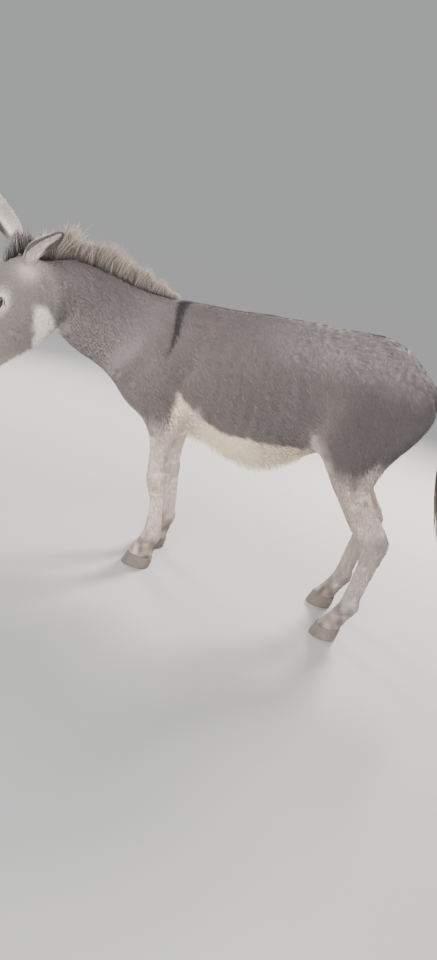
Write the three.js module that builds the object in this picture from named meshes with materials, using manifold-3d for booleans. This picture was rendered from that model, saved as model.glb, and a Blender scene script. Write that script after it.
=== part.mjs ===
// A domestic donkey standing still, with its neck and head turned to its left, as a life-size model.
// Millimetres, +Z up. It faces -X, its left side is -Y, and every outline runs to the tips of the coat.
import * as THREE from "three";
import { mergeVertices } from "three/addons/utils/BufferGeometryUtils.js";
import Module from "manifold-3d";

const wasm = await Module();
wasm.setup();

// ---- Driving dimensions --------------------------------------------------------------------------
const WITHERS_HEIGHT = 1094; // floor to the top of the shoulders
const CROUP_HEIGHT = 1139; // floor to the highest point of the rump
const BELLY_HEIGHT = 530; // floor to the lowest hair of the belly
const HEAD_LENGTH = 550; // poll to lips
const EAR_LENGTH = 252;
const EYE_RADIUS = 19;
const MANE_HEIGHT = 128; // tallest hair, just behind the ears
const TAIL_LENGTH = 610; // root to the last hair of the tuft
const HOOF_HEIGHT = 50; // floor to coronet, where horn meets hair
const FORE_STANCE = 112; // middle of the body to the middle of a front hoof
const HIND_STANCE = 128; // middle of the body to the middle of a hind hoof
const RIGHT_FORE_STEP = -28; // how far the right foreleg stands ahead of the left one
const RIGHT_HIND_STEP = -62; // how far the right hind leg stands ahead of the left one
const GAP = 0.4; // clear space between touching pieces
const BODY_SIDES = 20; // corners of a body section
const LIMB_SIDES = 14; // corners of a leg section

// ---- Shape helpers -------------------------------------------------------------------------------
const { degToRad: radians, lerp: mix, clamp } = THREE.MathUtils;
const vector = (x, y, z) => new THREE.Vector3(x, y, z);

// Evenly spaced values from first to last.
const steps = (first, last, count) =>
  Array.from({ length: count }, (_, i) => mix(first, last, i / (count - 1)));

// The row of a table at one value of its first column, on a smooth curve through the rows.
function rowAt(rows, value) {
  const order = Math.sign(rows.at(-1)[0] - rows[0][0]);
  let i = 0;
  while (i < rows.length - 2 && order * value > order * rows[i + 1][0]) i++;
  const [from, to] = [rows[i], rows[i + 1]];
  const [before, after] = [rows[i - 1] ?? from, rows[i + 2] ?? to];
  const span = to[0] - from[0];
  const t = (value - from[0]) / span;
  return from.map((_, k) => {
    const leave = ((to[k] - before[k]) / (to[0] - before[0])) * span;
    const arrive = ((after[k] - from[k]) / (after[0] - from[0])) * span;
    const rise = to[k] - from[k];
    const bend = (leave + arrive - 2 * rise) * t + (3 * rise - 2 * leave - arrive);
    return from[k] + (leave + bend * t) * t;
  });
}

// Corners of a closed section: half width, heights above and below its widest level, and fullness.
// Fullness 2 is an ellipse, more is squarer and less is more pointed.
function section(sides, width, above, below, fullAbove = 2, fullBelow = 2) {
  return steps(0, 2 * Math.PI, sides + 1)
    .slice(0, sides)
    .map((angle) => {
      const [c, s] = [Math.cos(angle), Math.sin(angle)];
      const full = 2 / (s > 0 ? fullAbove : fullBelow);
      const reach = s > 0 ? above : below;
      return [width * Math.sign(c) * Math.abs(c) ** full, reach * Math.sign(s) * Math.abs(s) ** full];
    });
}

// A geometry as a solid, turned the right way out.
function solidOf(geometry) {
  const bare = geometry.clone();
  bare.deleteAttribute("normal");
  bare.deleteAttribute("uv");
  const merged = mergeVertices(bare, 1e-3);
  const vertProperties = merged.attributes.position.array;
  const corners = Array.from(merged.index.array);
  const make = (triVerts) =>
    new wasm.Manifold(new wasm.Mesh({ numProp: 3, vertProperties, triVerts: Uint32Array.from(triVerts) }));
  const made = make(corners);
  return made.volume() < 0 ? make(corners.reverse()) : made;
}

// Rings of equally many corners, one after another, skinned over and closed by a fan at each end.
function loft(rings) {
  const count = rings[0].length;
  const last = rings.length - 1;
  const middles = [rings[0], rings[last]].map((ring) =>
    ring.reduce((sum, corner) => sum.add(corner), vector(0, 0, 0)).divideScalar(count),
  );
  const faces = [];
  for (let i = 0; i < count; i++) {
    const next = (i + 1) % count;
    for (let r = 0; r < last; r++) {
      const [low, high] = [r * count, (r + 1) * count];
      faces.push(low + i, low + next, high + next, low + i, high + next, high + i);
    }
    faces.push(rings.length * count, next, i);
    faces.push(rings.length * count + 1, last * count + i, last * count + next);
  }
  const geometry = new THREE.BufferGeometry().setFromPoints([...rings.flat(), ...middles]);
  geometry.setIndex(faces);
  return solidOf(geometry);
}

// Sections carried along a curve. across is the sideways direction that they keep.
function sweep(curve, shares, across, corners) {
  return loft(
    shares.map((share) => {
      const centre = curve.getPointAt(clamp(share, 0, 1));
      const up = curve.getTangentAt(clamp(share, 0, 1)).cross(across).normalize();
      return corners(share).map(([wide, high]) =>
        centre.clone().addScaledVector(across, wide).addScaledVector(up, high),
      );
    }),
  );
}

// The two sides of a solid, ahead of and behind a plane, with the gap between them.
function part(solid, point, normal) {
  const facing = normal.clone().normalize();
  const offset = facing.dot(point);
  return [
    solid.trimByPlane(facing.toArray(), offset + GAP / 2),
    solid.trimByPlane(facing.negate().toArray(), GAP / 2 - offset),
  ];
}

// ---- Trunk ---------------------------------------------------------------------------------------
// x, top, bottom, widest level, half width, fullness above and below
const TRUNK = [
  [-290, 812, 660, 735, 60, 2.0, 2.0],
  [-215, 1010, 604, 760, 128, 1.9, 2.1],
  [-150, 1070, 585, 780, 147, 1.8, 2.1],
  [-60, WITHERS_HEIGHT - 2, 574, 800, 158, 1.75, 2.1],
  [130, WITHERS_HEIGHT, 570, 805, 180, 1.85, 2.1],
  [240, 1106, BELLY_HEIGHT + 6, 800, 189, 1.9, 2.15],
  [340, 1114, BELLY_HEIGHT, 802, 192, 1.95, 2.15],
  [430, 1121, 562, 825, 188, 2.0, 2.1],
  [520, 1127, 622, 870, 181, 2.0, 2.0],
  [690, CROUP_HEIGHT, 740, 960, 167, 1.95, 2.0],
  [770, 1119, 770, 955, 152, 1.9, 2.0],
  [835, 1081, 792, 940, 130, 1.9, 2.0],
  [885, 1040, 820, 930, 104, 1.9, 2.0],
  [915, 1000, 850, 925, 70, 2.0, 2.0],
];

function trunk() {
  return loft(
    steps(TRUNK[0][0], TRUNK.at(-1)[0], 22).map((at) => {
      const [x, top, bottom, level, width, ...fullness] = rowAt(TRUNK, at);
      const corners = section(BODY_SIDES, width, top - level, level - bottom, ...fullness);
      return corners.map(([y, z]) => vector(x, y, level + z));
    }),
  );
}

// ---- Neck ----------------------------------------------------------------------------------------
// share of its length, x, y, heading towards the left, top, bottom, half width, fullness above
const NECK = [
  [0.0, -60, 0, 0, 1080, 620, 128, 1.7],
  [0.18, -168, -12, 12, 1078, 590, 126, 1.6],
  [0.36, -262, -48, 27, 1086, 664, 108, 1.6],
  [0.54, -340, -108, 40, 1110, 742, 95, 1.6],
  [0.7, -405, -180, 48, 1133, 797, 86, 1.65],
  [0.86, -465, -262, 51, 1140, 858, 80, 1.7],
  [1.0, -518, -342, 53, 1120, 888, 70, 1.8],
];
const NECK_FULL_BELOW = 2.1;
const NECK_WAIST = 0.48; // widest level as a share of the depth

function neck() {
  return loft(
    steps(0, 1, 13).map((at) => {
      const [, x, y, heading, top, bottom, width, fullness] = rowAt(NECK, at);
      const level = mix(bottom, top, NECK_WAIST);
      const across = vector(Math.sin(radians(heading)), -Math.cos(radians(heading)), 0);
      const corners = section(BODY_SIDES, width, top - level, level - bottom, fullness, NECK_FULL_BELOW);
      return corners.map(([wide, high]) => vector(x, y, level + high).addScaledVector(across, wide));
    }),
  );
}

// ---- Head ----------------------------------------------------------------------------------------
// The head's own frame has +X from the poll to the lips, +Y to its left and +Z out of the forehead.
const POLL = [-552, -452, 1126];
const HEAD_HEADING = 42; // turn to the left of straight ahead
const HEAD_DROOP = 60; // nose below level
const HEAD_TILT = -3; // left side below level
const headPlace = new THREE.Matrix4()
  .makeTranslation(...POLL)
  .multiply(new THREE.Matrix4().makeRotationZ(Math.PI + radians(HEAD_HEADING)))
  .multiply(new THREE.Matrix4().makeRotationY(radians(HEAD_DROOP)))
  .multiply(new THREE.Matrix4().makeRotationX(radians(HEAD_TILT)));
const onHead = (x, y, z) => vector(x, y, z).multiplyScalar(HEAD_LENGTH / 500).applyMatrix4(headPlace);
const headward = (x, y, z) => vector(x, y, z).transformDirection(headPlace);

// On a head 500 long: distance from the poll, forehead and nose line, jaw line, widest level,
// half width, fullness above and below
const HEAD = [
  [-34, -40, -110, -75, 40, 2.0, 2.0],
  [-12, -8, -165, -75, 70, 2.0, 2.0],
  [24, 8, -222, -72, 86, 2.1, 2.0],
  [66, 15, -246, -66, 94, 2.2, 2.1],
  [112, 18, -256, -62, 100, 2.3, 2.1],
  [158, 15, -252, -61, 100, 2.4, 2.0],
  [215, 7, -233, -64, 84, 2.4, 2.0],
  [280, -3, -204, -70, 65, 2.3, 2.2],
  [350, -14, -171, -80, 56, 2.3, 2.3],
  [420, -28, -157, -90, 58, 2.3, 2.4],
  [460, -42, -150, -95, 55, 2.3, 2.4],
  [486, -60, -132, -99, 46, 2.2, 2.3],
  [503, -86, -116, -102, 26, 2.0, 2.0],
];

function head() {
  return loft(
    steps(HEAD[0][0], HEAD.at(-1)[0], 21).map((at) => {
      const [x, top, bottom, level, width, ...fullness] = rowAt(HEAD, at);
      const corners = section(BODY_SIDES, width, top - level, level - bottom, ...fullness);
      return corners.map(([y, z]) => onHead(x, y, level + z));
    }),
  );
}

const EYE_PLACE = [145, 85, -39]; // on the head, mirrored for the right eye
function eye(side, grow) {
  const [x, y, z] = EYE_PLACE;
  const middle = onHead(x, side * y, z);
  return solidOf(new THREE.SphereGeometry(EYE_RADIUS + grow, 12, 8).translate(...middle));
}

// ---- Ears ----------------------------------------------------------------------------------------
// share of its length, half width, depth of the back, depth of the hollow in front
const EAR = [
  [0.0, 26, 26, -26],
  [0.12, 31, 29, -20],
  [0.25, 39, 30, -2],
  [0.4, 44, 28, 13],
  [0.58, 44, 25, 13],
  [0.76, 38, 19, 9],
  [0.9, 27, 12, 4],
  [1.0, 10, 5, -4],
];
// Where each ear stands on the head, where it points and where its hollow faces, in the head's frame.
const EARS = {
  left: { foot: [-4, 50, -36], along: [-0.51, 0.853, 0.112], facing: [0.604, 0.448, -0.66] },
  right: { foot: [-20, -40, -26], along: [-0.36, -0.3, 0.88], facing: [0.45, -0.85, 0.1] },
};
const EAR_SIDES = 14;

function ear({ foot, along, facing }, grow) {
  const up = headward(...along);
  const front = headward(...facing);
  front.addScaledVector(up, -front.dot(up)).normalize();
  const across = up.clone().cross(front);
  const start = onHead(...foot);
  return loft(
    steps(0, 1, 11).map((at) => {
      const [share, width, back, hollow] = rowAt(EAR, at);
      const corners = section(EAR_SIDES, width + grow, grow - hollow, back + grow);
      return corners.map(([wide, high]) =>
        start
          .clone()
          .addScaledVector(up, share * (EAR_LENGTH + 2 * grow) - grow)
          .addScaledVector(across, wide)
          .addScaledVector(front, high),
      );
    }),
  );
}

// ---- Mane and forelock ---------------------------------------------------------------------------
// share of the neck's length, height as a share of the tallest hair, half thickness at the root
const MANE = [
  [0.1, 0.06, 8],
  [0.18, 0.27, 11],
  [0.27, 0.46, 14],
  [0.36, 0.62, 15],
  [0.54, 0.7, 16],
  [0.62, 0.8, 16],
  [0.72, 0.64, 16],
  [0.87, 0.94, 16],
  [1.0, 0.7, 16],
];
const MANE_ROOT = 14; // how deep the hair starts below the crest
const LOCK_DIP = 0.14; // how far the top drops between one lock and the next

// A blade of hair standing on a ridge: wide at the root and narrow along the top.
const blade = (root, height, grow) => [
  [-root - grow, -MANE_ROOT - grow],
  [root + grow, -MANE_ROOT - grow],
  [0.8 * root + grow, 0.4 * height],
  [0.3 * root + grow, height + grow],
  [-0.3 * root - grow, height + grow],
  [-0.8 * root - grow, 0.4 * height],
];

function mane(grow) {
  const first = MANE[0][0] - grow / 500;
  const last = MANE.at(-1)[0] + grow / 500;
  return loft(
    steps(first, last, 25).map((at, i) => {
      const [, share, root] = rowAt(MANE, at);
      const [, x, y, heading, top] = rowAt(NECK, at);
      const across = vector(Math.sin(radians(heading)), -Math.cos(radians(heading)), 0);
      const height = MANE_HEIGHT * share * (i % 2 ? 1 : 1 - LOCK_DIP);
      return blade(root, height, grow).map(([wide, high]) =>
        vector(x, y, top + high).addScaledVector(across, wide),
      );
    }),
  );
}

// The tuft between the ears: distance from the poll on the head, height, half thickness
const FORELOCK = [
  [-22, 66, 16],
  [2, 54, 18],
  [26, 30, 16],
  [50, 10, 11],
];
function forelock(grow) {
  return loft(
    steps(FORELOCK[0][0] - grow, FORELOCK.at(-1)[0] + grow, 7).map((at) => {
      const [x, height, root] = rowAt(FORELOCK, at);
      const lean = headward(-0.6, 0, 0.8);
      const [, top] = rowAt(HEAD, x);
      return blade(root, height, grow).map(([wide, high]) => onHead(x, wide, top).addScaledVector(lean, high));
    }),
  );
}

// ---- Tail ----------------------------------------------------------------------------------------
// The dock leaves the rump and hangs with the tuft below it, swung clear behind the thighs.
const TAIL_PATH = new THREE.CatmullRomCurve3(
  [
    [858, 0, 1024],
    [915, 0, 1000],
    [962, 0, 915],
    [1014, 0, 760],
    [1072, 0, 590],
    [1116, 0, 470],
  ].map((point) => vector(...point)),
);
const DOCK_SHARE = 0.56;
// share of the whole tail, half width
const DOCK = [
  [0.0, 30],
  [0.12, 27],
  [0.3, 20],
  [0.56, 17],
];
const TUFT = [
  [0.56, 19],
  [0.7, 31],
  [0.84, 33],
  [0.95, 22],
  [1.0, 5],
];
const TAIL_SIDES = 10;

function tailPiece(rows, from, to, count, grow) {
  return sweep(TAIL_PATH, steps(from, to, count), vector(0, 1, 0), (share) => {
    const [, width] = rowAt(rows, share);
    return section(TAIL_SIDES, width + grow, width + grow, width + grow);
  });
}

// ---- Legs ----------------------------------------------------------------------------------------
// height, front, back, middle as a share of the stance, half width, fullness
const FORELEG = [
  [905, -150, 0, 0.92, 34, 2.0],
  [850, -205, 40, 1.0, 50, 2.0],
  [780, -250, 72, 1.05, 58, 2.0],
  [720, -254, 88, 1.06, 60, 2.0],
  [665, -205, 84, 1.05, 60, 2.0],
  [615, -128, 62, 1.03, 56, 2.0],
  [560, -88, 40, 1.02, 48, 2.1],
  [500, -64, 26, 1.0, 41, 2.1],
  [435, -50, 20, 1.0, 36, 2.2],
  [385, -45, 30, 1.0, 38, 2.4],
  [335, -28, 38, 1.0, 32, 2.2],
  [290, -12, 48, 1.0, 26, 2.1],
  [200, -9, 60, 1.0, 26, 2.1],
  [150, -14, 67, 1.0, 33, 2.1],
  [102, -36, 55, 1.0, 29, 2.1],
  [HOOF_HEIGHT, -57, 47, 1.0, 37, 2.1],
];
const HINDLEG = [
  [1020, 640, 880, 0.6, 52, 2.0],
  [985, 600, 922, 0.68, 66, 2.1],
  [930, 568, 942, 0.76, 80, 2.2],
  [870, 556, 926, 0.84, 88, 2.2],
  [800, 558, 890, 0.9, 86, 2.2],
  [740, 564, 853, 0.95, 78, 2.2],
  [690, 578, 830, 0.98, 67, 2.1],
  [645, 604, 818, 1.0, 56, 2.1],
  [600, 645, 812, 1.0, 46, 2.1],
  [530, 710, 856, 1.0, 36, 2.2],
  [475, 757, 902, 1.0, 34, 2.3],
  [435, 792, 924, 1.0, 37, 2.4],
  [385, 824, 922, 1.0, 35, 2.3],
  [330, 838, 912, 1.0, 29, 2.1],
  [200, 826, 894, 1.0, 28, 2.1],
  [150, 816, 896, 1.0, 34, 2.1],
  [100, 792, 872, 1.0, 30, 2.1],
  [HOOF_HEIGHT, 761, 853, 1.0, 37, 2.1],
];
const CANNON_LEVEL = 300; // below this a leg that stands ahead is moved as a whole

// side is -1 for the left. The step ahead fades out from the cannon bone up to the hinge.
function leg(rows, stance, side, step, hinge, count) {
  return loft(
    steps(rows[0][0], rows.at(-1)[0], count).map((at) => {
      const [z, front, back, out, width, fullness] = rowAt(rows, at);
      const swing = step * clamp((hinge - z) / (hinge - CANNON_LEVEL), 0, 1);
      const corners = section(LIMB_SIDES, (back - front) / 2, width, width, fullness, fullness);
      return corners.map(([x, y]) => vector((front + back) / 2 + swing + x, side * stance * out + y, z));
    }),
  );
}

// height, front, back, half width: a sloping wall at the toe, a short upright heel, a flat sole
const FORE_HOOF = [
  [HOOF_HEIGHT - GAP, -58, 48, 38],
  [28, -67, 46, 42],
  [7, -76, 42, 45],
  [0, -78, 41, 44],
];
const HIND_HOOF = [
  [HOOF_HEIGHT - GAP, 760, 854, 38],
  [28, 753, 852, 41],
  [7, 745, 849, 43],
  [0, 743, 848, 42],
];
const HOOF_SIDES = 16;
const HOOF_FULLNESS = 2.3;

function hoof(rows, stance, side, step) {
  return loft(
    rows.map(([z, front, back, width]) => {
      const corners = section(HOOF_SIDES, (back - front) / 2, width, width, HOOF_FULLNESS, HOOF_FULLNESS);
      return corners.map(([x, y]) => vector((front + back) / 2 + step + x, side * stance + y, z));
    }),
  );
}

// ---- Parting and naming --------------------------------------------------------------------------
const HAIR = { color: 0x8f857c, roughness: 0.92, metalness: 0 };
const DARK_HAIR = { color: 0x4f4640, roughness: 0.9, metalness: 0 };
const HORN = { color: 0x7a7167, roughness: 0.7, metalness: 0 };
const EYE = { color: 0x1a120e, roughness: 0.12, metalness: 0 };

const donkey = new THREE.Group();
function add(name, solid, look) {
  const mesh = solid.getMesh();
  const geometry = new THREE.BufferGeometry();
  geometry.setAttribute("position", new THREE.BufferAttribute(mesh.vertProperties, mesh.numProp));
  geometry.setIndex(new THREE.BufferAttribute(mesh.triVerts, 1));
  const node = new THREE.Mesh(geometry, new THREE.MeshStandardMaterial(look));
  node.name = name;
  donkey.add(node);
}

// Each leg is cut across just under the body, its upper end joining the trunk.
let body = trunk();
const SIDES = [
  ["left", -1, 0, 0],
  ["right", 1, RIGHT_FORE_STEP, RIGHT_HIND_STEP],
];
for (const [side, sign, foreStep, hindStep] of SIDES) {
  const legs = [
    ["fore", FORELEG, FORE_STANCE, foreStep, 700, 24, vector(-60, 0, 571), vector(0.16, 0, 1), FORE_HOOF],
    ["hind", HINDLEG, HIND_STANCE, hindStep, 800, 26, vector(700, 0, 652), vector(-0.1, 0, 1), HIND_HOOF],
  ];
  for (const [end, rows, stance, step, hinge, count, top, normal, hoofRows] of legs) {
    const [upper, lower] = part(leg(rows, stance, sign, step, hinge, count), top, normal);
    body = body.add(upper);
    add(`${end}leg_${side}`, lower, HAIR);
    add(`hoof_${end}_${side}`, hoof(hoofRows, stance, sign, step), HORN);
  }
}

// Hair, ears, eyes and tail stand in sockets cut a little larger than they are.
const tail = tailPiece(DOCK, 0, DOCK_SHARE, 9, 0);
body = body.add(neck()).add(head());
for (const cutter of [mane(GAP), forelock(GAP), tailPiece(DOCK, 0, DOCK_SHARE, 9, GAP)]) body = body.subtract(cutter);
for (const [side, sign] of [["left", 1], ["right", -1]]) {
  body = body.subtract(ear(EARS[side], GAP)).subtract(eye(sign, GAP));
  add(`ear_${side}`, ear(EARS[side], 0), HAIR);
  add(`eye_${side}`, eye(sign, 0), EYE);
}
add("mane", mane(0), DARK_HAIR);
add("forelock", forelock(0), DARK_HAIR);
add("tail", tail, HAIR);
add("tail_tuft", tailPiece(TUFT, DOCK_SHARE + GAP / TAIL_LENGTH, 1, 8, 0), DARK_HAIR);

const [front, trunkBody] = part(body, vector(-70, 0, 1100), vector(-460, 0, 192));
const [headBody, neckBody] = part(front, vector(-508, -330, 1000), vector(-0.62, -0.78, 0.0));
add("head", headBody, HAIR);
add("neck", neckBody, HAIR);
add("trunk", trunkBody, HAIR);

// The origin is under the middle of the whole model.
const extent = new THREE.Box3().setFromObject(donkey);
const centre = extent.getCenter(vector(0, 0, 0));
donkey.position.set(-centre.x, -centre.y, -extent.min.z);

export default donkey;
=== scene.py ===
"""A grey donkey standing at rest with its neck turned to its left: hide, coat, horn, eyes and long hair."""
import math
import bpy
import numpy as np
from mathutils import Matrix, Vector


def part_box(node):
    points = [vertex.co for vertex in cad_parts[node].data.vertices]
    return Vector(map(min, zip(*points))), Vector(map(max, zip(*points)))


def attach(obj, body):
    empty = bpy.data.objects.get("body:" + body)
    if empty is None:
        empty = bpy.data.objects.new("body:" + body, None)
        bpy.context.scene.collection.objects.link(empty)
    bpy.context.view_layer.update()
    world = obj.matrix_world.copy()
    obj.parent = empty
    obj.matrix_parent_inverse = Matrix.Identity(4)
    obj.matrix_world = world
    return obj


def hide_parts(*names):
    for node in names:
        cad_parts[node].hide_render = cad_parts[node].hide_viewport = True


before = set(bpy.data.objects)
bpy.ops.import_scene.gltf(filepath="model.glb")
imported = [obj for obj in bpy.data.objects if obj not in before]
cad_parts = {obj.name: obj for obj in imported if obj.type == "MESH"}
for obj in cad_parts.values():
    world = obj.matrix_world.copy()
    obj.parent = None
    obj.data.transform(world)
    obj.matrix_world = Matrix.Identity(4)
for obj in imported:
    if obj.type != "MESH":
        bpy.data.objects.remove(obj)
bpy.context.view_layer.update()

# ---- Hide ----------------------------------------------------------------------------------------
# The hide covers the whole animal in one piece, from the lips to the dock and down to the coronets.
# It is skin drawn over muscle and bone, and lies under the tips of the coat by the coat's depth.
FORE_STANCE = 0.112  # from the middle line to a front foot
HIND_STANCE = 0.128
RIGHT_FORE_STEP = -0.028  # how far behind the left foot the right one stands, or before it below 0
RIGHT_HIND_STEP = -0.062
FORE_HINGE = 0.700  # height from which a leg swings into its step
HIND_HINGE = 0.800
HEAD_LENGTH = 0.550
EAR_LENGTH = 0.252
BODY_COAT = 0.0045  # depth of the coat over the hide
NECK_COAT = 0.005
FACE_COAT = 0.004
LEG_COAT = 0.0025
HIDE_CELL = 0.0105  # size of the faces before the head and legs are refined

# The animal's own frame stands on the floor at the middle of its front feet's stance.
toe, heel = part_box("hoof_fore_left")
ORIGIN = np.array([toe.x + 0.078, (toe.y + heel.y) / 2 + FORE_STANCE, 0.0])

# x, top, bottom, widest level, half width, fullness above and below
TRUNK = [
    (-0.290, 0.812, 0.660, 0.735, 0.060, 2.0, 2.0),
    (-0.215, 1.010, 0.604, 0.760, 0.128, 1.9, 2.1),
    (-0.150, 1.070, 0.585, 0.780, 0.147, 1.8, 2.1),
    (-0.060, 1.092, 0.574, 0.800, 0.158, 1.75, 2.1),
    (0.130, 1.094, 0.570, 0.805, 0.180, 1.85, 2.1),
    (0.240, 1.106, 0.536, 0.800, 0.189, 1.9, 2.15),
    (0.340, 1.114, 0.530, 0.802, 0.192, 1.95, 2.15),
    (0.430, 1.121, 0.562, 0.825, 0.188, 2.0, 2.1),
    (0.520, 1.127, 0.622, 0.870, 0.181, 2.0, 2.0),
    (0.690, 1.139, 0.740, 0.960, 0.167, 1.95, 2.0),
    (0.770, 1.119, 0.770, 0.955, 0.152, 1.9, 2.0),
    (0.835, 1.081, 0.792, 0.940, 0.130, 1.9, 2.0),
    (0.885, 1.040, 0.820, 0.930, 0.104, 1.9, 2.0),
    (0.915, 1.000, 0.850, 0.925, 0.070, 2.0, 2.0),
]
# share of the neck's length, x, y, heading to the left in degrees, top, bottom, half width, fullness above
NECK = [
    (0.0, -0.060, 0.0, 0, 1.080, 0.620, 0.128, 1.7),
    (0.18, -0.168, -0.012, 12, 1.078, 0.590, 0.126, 1.6),
    (0.36, -0.262, -0.048, 27, 1.086, 0.664, 0.108, 1.6),
    (0.54, -0.340, -0.108, 40, 1.110, 0.742, 0.095, 1.6),
    (0.7, -0.405, -0.180, 48, 1.133, 0.797, 0.086, 1.65),
    (0.86, -0.465, -0.262, 51, 1.140, 0.858, 0.080, 1.7),
    (1.0, -0.518, -0.342, 53, 1.120, 0.888, 0.070, 1.8),
]
NECK_WAIST = 0.48
NECK_FULL_BELOW = 2.1
# on a head 500 long: distance from the poll, forehead line, jaw line, widest level, half width, fullness
HEAD = [
    (-34, -40, -110, -75, 40, 2.0, 2.0),
    (-12, -8, -165, -75, 70, 2.0, 2.0),
    (24, 8, -222, -72, 86, 2.1, 2.0),
    (66, 15, -246, -66, 94, 2.2, 2.1),
    (112, 18, -256, -62, 100, 2.3, 2.1),
    (158, 15, -252, -61, 100, 2.4, 2.0),
    (215, 7, -233, -64, 84, 2.4, 2.0),
    (280, -3, -204, -70, 65, 2.3, 2.2),
    (350, -14, -171, -80, 56, 2.3, 2.3),
    (420, -28, -157, -90, 58, 2.3, 2.4),
    (460, -42, -150, -95, 55, 2.3, 2.4),
    (486, -60, -132, -99, 46, 2.2, 2.3),
    (503, -86, -116, -102, 26, 2.0, 2.0),
]
# The head's own frame: +X from the poll to the lips, +Y to its left, +Z out of the forehead.
POLL = (-0.552, -0.452, 1.126)
HEAD_FRAME = np.array(
    Matrix.Translation(POLL)
    @ Matrix.Rotation(math.pi + math.radians(42), 4, "Z")
    @ Matrix.Rotation(math.radians(60), 4, "Y")
    @ Matrix.Rotation(math.radians(-3), 4, "X")
    @ Matrix.Scale(HEAD_LENGTH / 500, 4)
)
HEADWARD = HEAD_FRAME[:3, :3] * 500 / HEAD_LENGTH
# height, front, back, middle as a share of the stance, half width, fullness
FORELEG = [
    (0.905, -0.150, 0.000, 0.92, 0.034, 2.0),
    (0.850, -0.205, 0.040, 1.0, 0.050, 2.0),
    (0.780, -0.250, 0.072, 1.05, 0.058, 2.0),
    (0.720, -0.254, 0.088, 1.06, 0.060, 2.0),
    (0.665, -0.205, 0.084, 1.05, 0.060, 2.0),
    (0.615, -0.128, 0.062, 1.03, 0.056, 2.0),
    (0.560, -0.088, 0.040, 1.02, 0.048, 2.1),
    (0.500, -0.064, 0.026, 1.0, 0.041, 2.1),
    (0.435, -0.050, 0.020, 1.0, 0.036, 2.2),
    (0.385, -0.045, 0.030, 1.0, 0.038, 2.4),
    (0.335, -0.028, 0.038, 1.0, 0.032, 2.2),
    (0.290, -0.012, 0.048, 1.0, 0.026, 2.1),
    (0.200, -0.009, 0.060, 1.0, 0.026, 2.1),
    (0.150, -0.014, 0.067, 1.0, 0.033, 2.1),
    (0.102, -0.036, 0.055, 1.0, 0.029, 2.1),
    (0.040, -0.060, 0.044, 1.0, 0.036, 2.1),
]
HINDLEG = [
    (1.020, 0.640, 0.880, 0.6, 0.052, 2.0),
    (0.985, 0.600, 0.922, 0.68, 0.066, 2.1),
    (0.930, 0.568, 0.942, 0.76, 0.080, 2.2),
    (0.870, 0.556, 0.926, 0.84, 0.088, 2.2),
    (0.800, 0.558, 0.890, 0.9, 0.086, 2.2),
    (0.740, 0.564, 0.853, 0.95, 0.078, 2.2),
    (0.690, 0.578, 0.830, 0.98, 0.067, 2.1),
    (0.645, 0.604, 0.818, 1.0, 0.056, 2.1),
    (0.600, 0.645, 0.812, 1.0, 0.046, 2.1),
    (0.530, 0.710, 0.856, 1.0, 0.036, 2.2),
    (0.475, 0.757, 0.902, 1.0, 0.034, 2.3),
    (0.435, 0.792, 0.924, 1.0, 0.037, 2.4),
    (0.385, 0.824, 0.922, 1.0, 0.035, 2.3),
    (0.330, 0.838, 0.912, 1.0, 0.029, 2.1),
    (0.200, 0.826, 0.894, 1.0, 0.028, 2.1),
    (0.150, 0.816, 0.896, 1.0, 0.034, 2.1),
    (0.100, 0.792, 0.872, 1.0, 0.030, 2.1),
    (0.040, 0.756, 0.850, 1.0, 0.036, 2.1),
]
CANNON_LEVEL = 0.300
# rows, stance, side, step and hinge of each leg
LEGS = [
    (FORELEG, FORE_STANCE, -1, 0.0, FORE_HINGE),
    (FORELEG, FORE_STANCE, 1, RIGHT_FORE_STEP, FORE_HINGE),
    (HINDLEG, HIND_STANCE, -1, 0.0, HIND_HINGE),
    (HINDLEG, HIND_STANCE, 1, RIGHT_HIND_STEP, HIND_HINGE),
]
TAIL_PATH = np.array(
    [
        (0.858, 0, 1.024),
        (0.915, 0, 1.000),
        (0.962, 0, 0.915),
        (1.014, 0, 0.760),
        (1.072, 0, 0.590),
        (1.116, 0, 0.470),
    ]
)
DOCK_SHARE = 0.56
DOCK = [(0.0, 0.030), (0.12, 0.027), (0.3, 0.020), (0.56, 0.017)]


def ramp(value, low, high):
    """0 below low, 1 above high, and a smooth S between them."""
    t = np.clip((value - low) / (high - low), 0, 1)
    return t * t * (3 - 2 * t)


def unit(vectors):
    """Vectors of length 1 in the same directions."""
    return vectors / np.maximum(np.linalg.norm(vectors, axis=-1, keepdims=True), 1e-12)


def rows_at(rows, at):
    """Rows of a table at places along its first column: cubic pieces that leave and reach each row
    with the slope of the chord between that row's neighbours."""
    rows = np.array(rows, float)
    order = np.sign(rows[-1, 0] - rows[0, 0])
    here = np.clip(np.searchsorted(order * rows[:, 0], order * at) - 1, 0, len(rows) - 2)
    before, start, end = rows[np.maximum(here - 1, 0)], rows[here], rows[here + 1]
    after = rows[np.minimum(here + 2, len(rows) - 1)]
    span = (end - start)[:, :1]
    t = (at - start[:, 0])[:, None] / span
    leave = (end - before) / (end - before)[:, :1] * span
    arrive = (after - start) / (after - start)[:, :1] * span
    rise = end - start
    return start + (leave + ((leave + arrive - 2 * rise) * t + 3 * rise - 2 * leave - arrive) * t) * t


def section(sides, width, above, below, full_above, full_below):
    """Closed sections, one row each: across is width·cos and height is above·sin or below·sin, each to
    the power 2 / fullness, so that fullness 2 is an ellipse and more is squarer."""
    angle = np.linspace(0, 2 * math.pi, sides, endpoint=False)
    across, height = np.cos(angle), np.sin(angle)
    power = 2 / np.where(height > 0, np.c_[full_above], np.c_[full_below])
    reach = np.where(height > 0, np.c_[above], np.c_[below])
    return (
        np.c_[width] * np.sign(across) * abs(across) ** power,
        reach * np.sign(height) * abs(height) ** power,
    )


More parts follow.
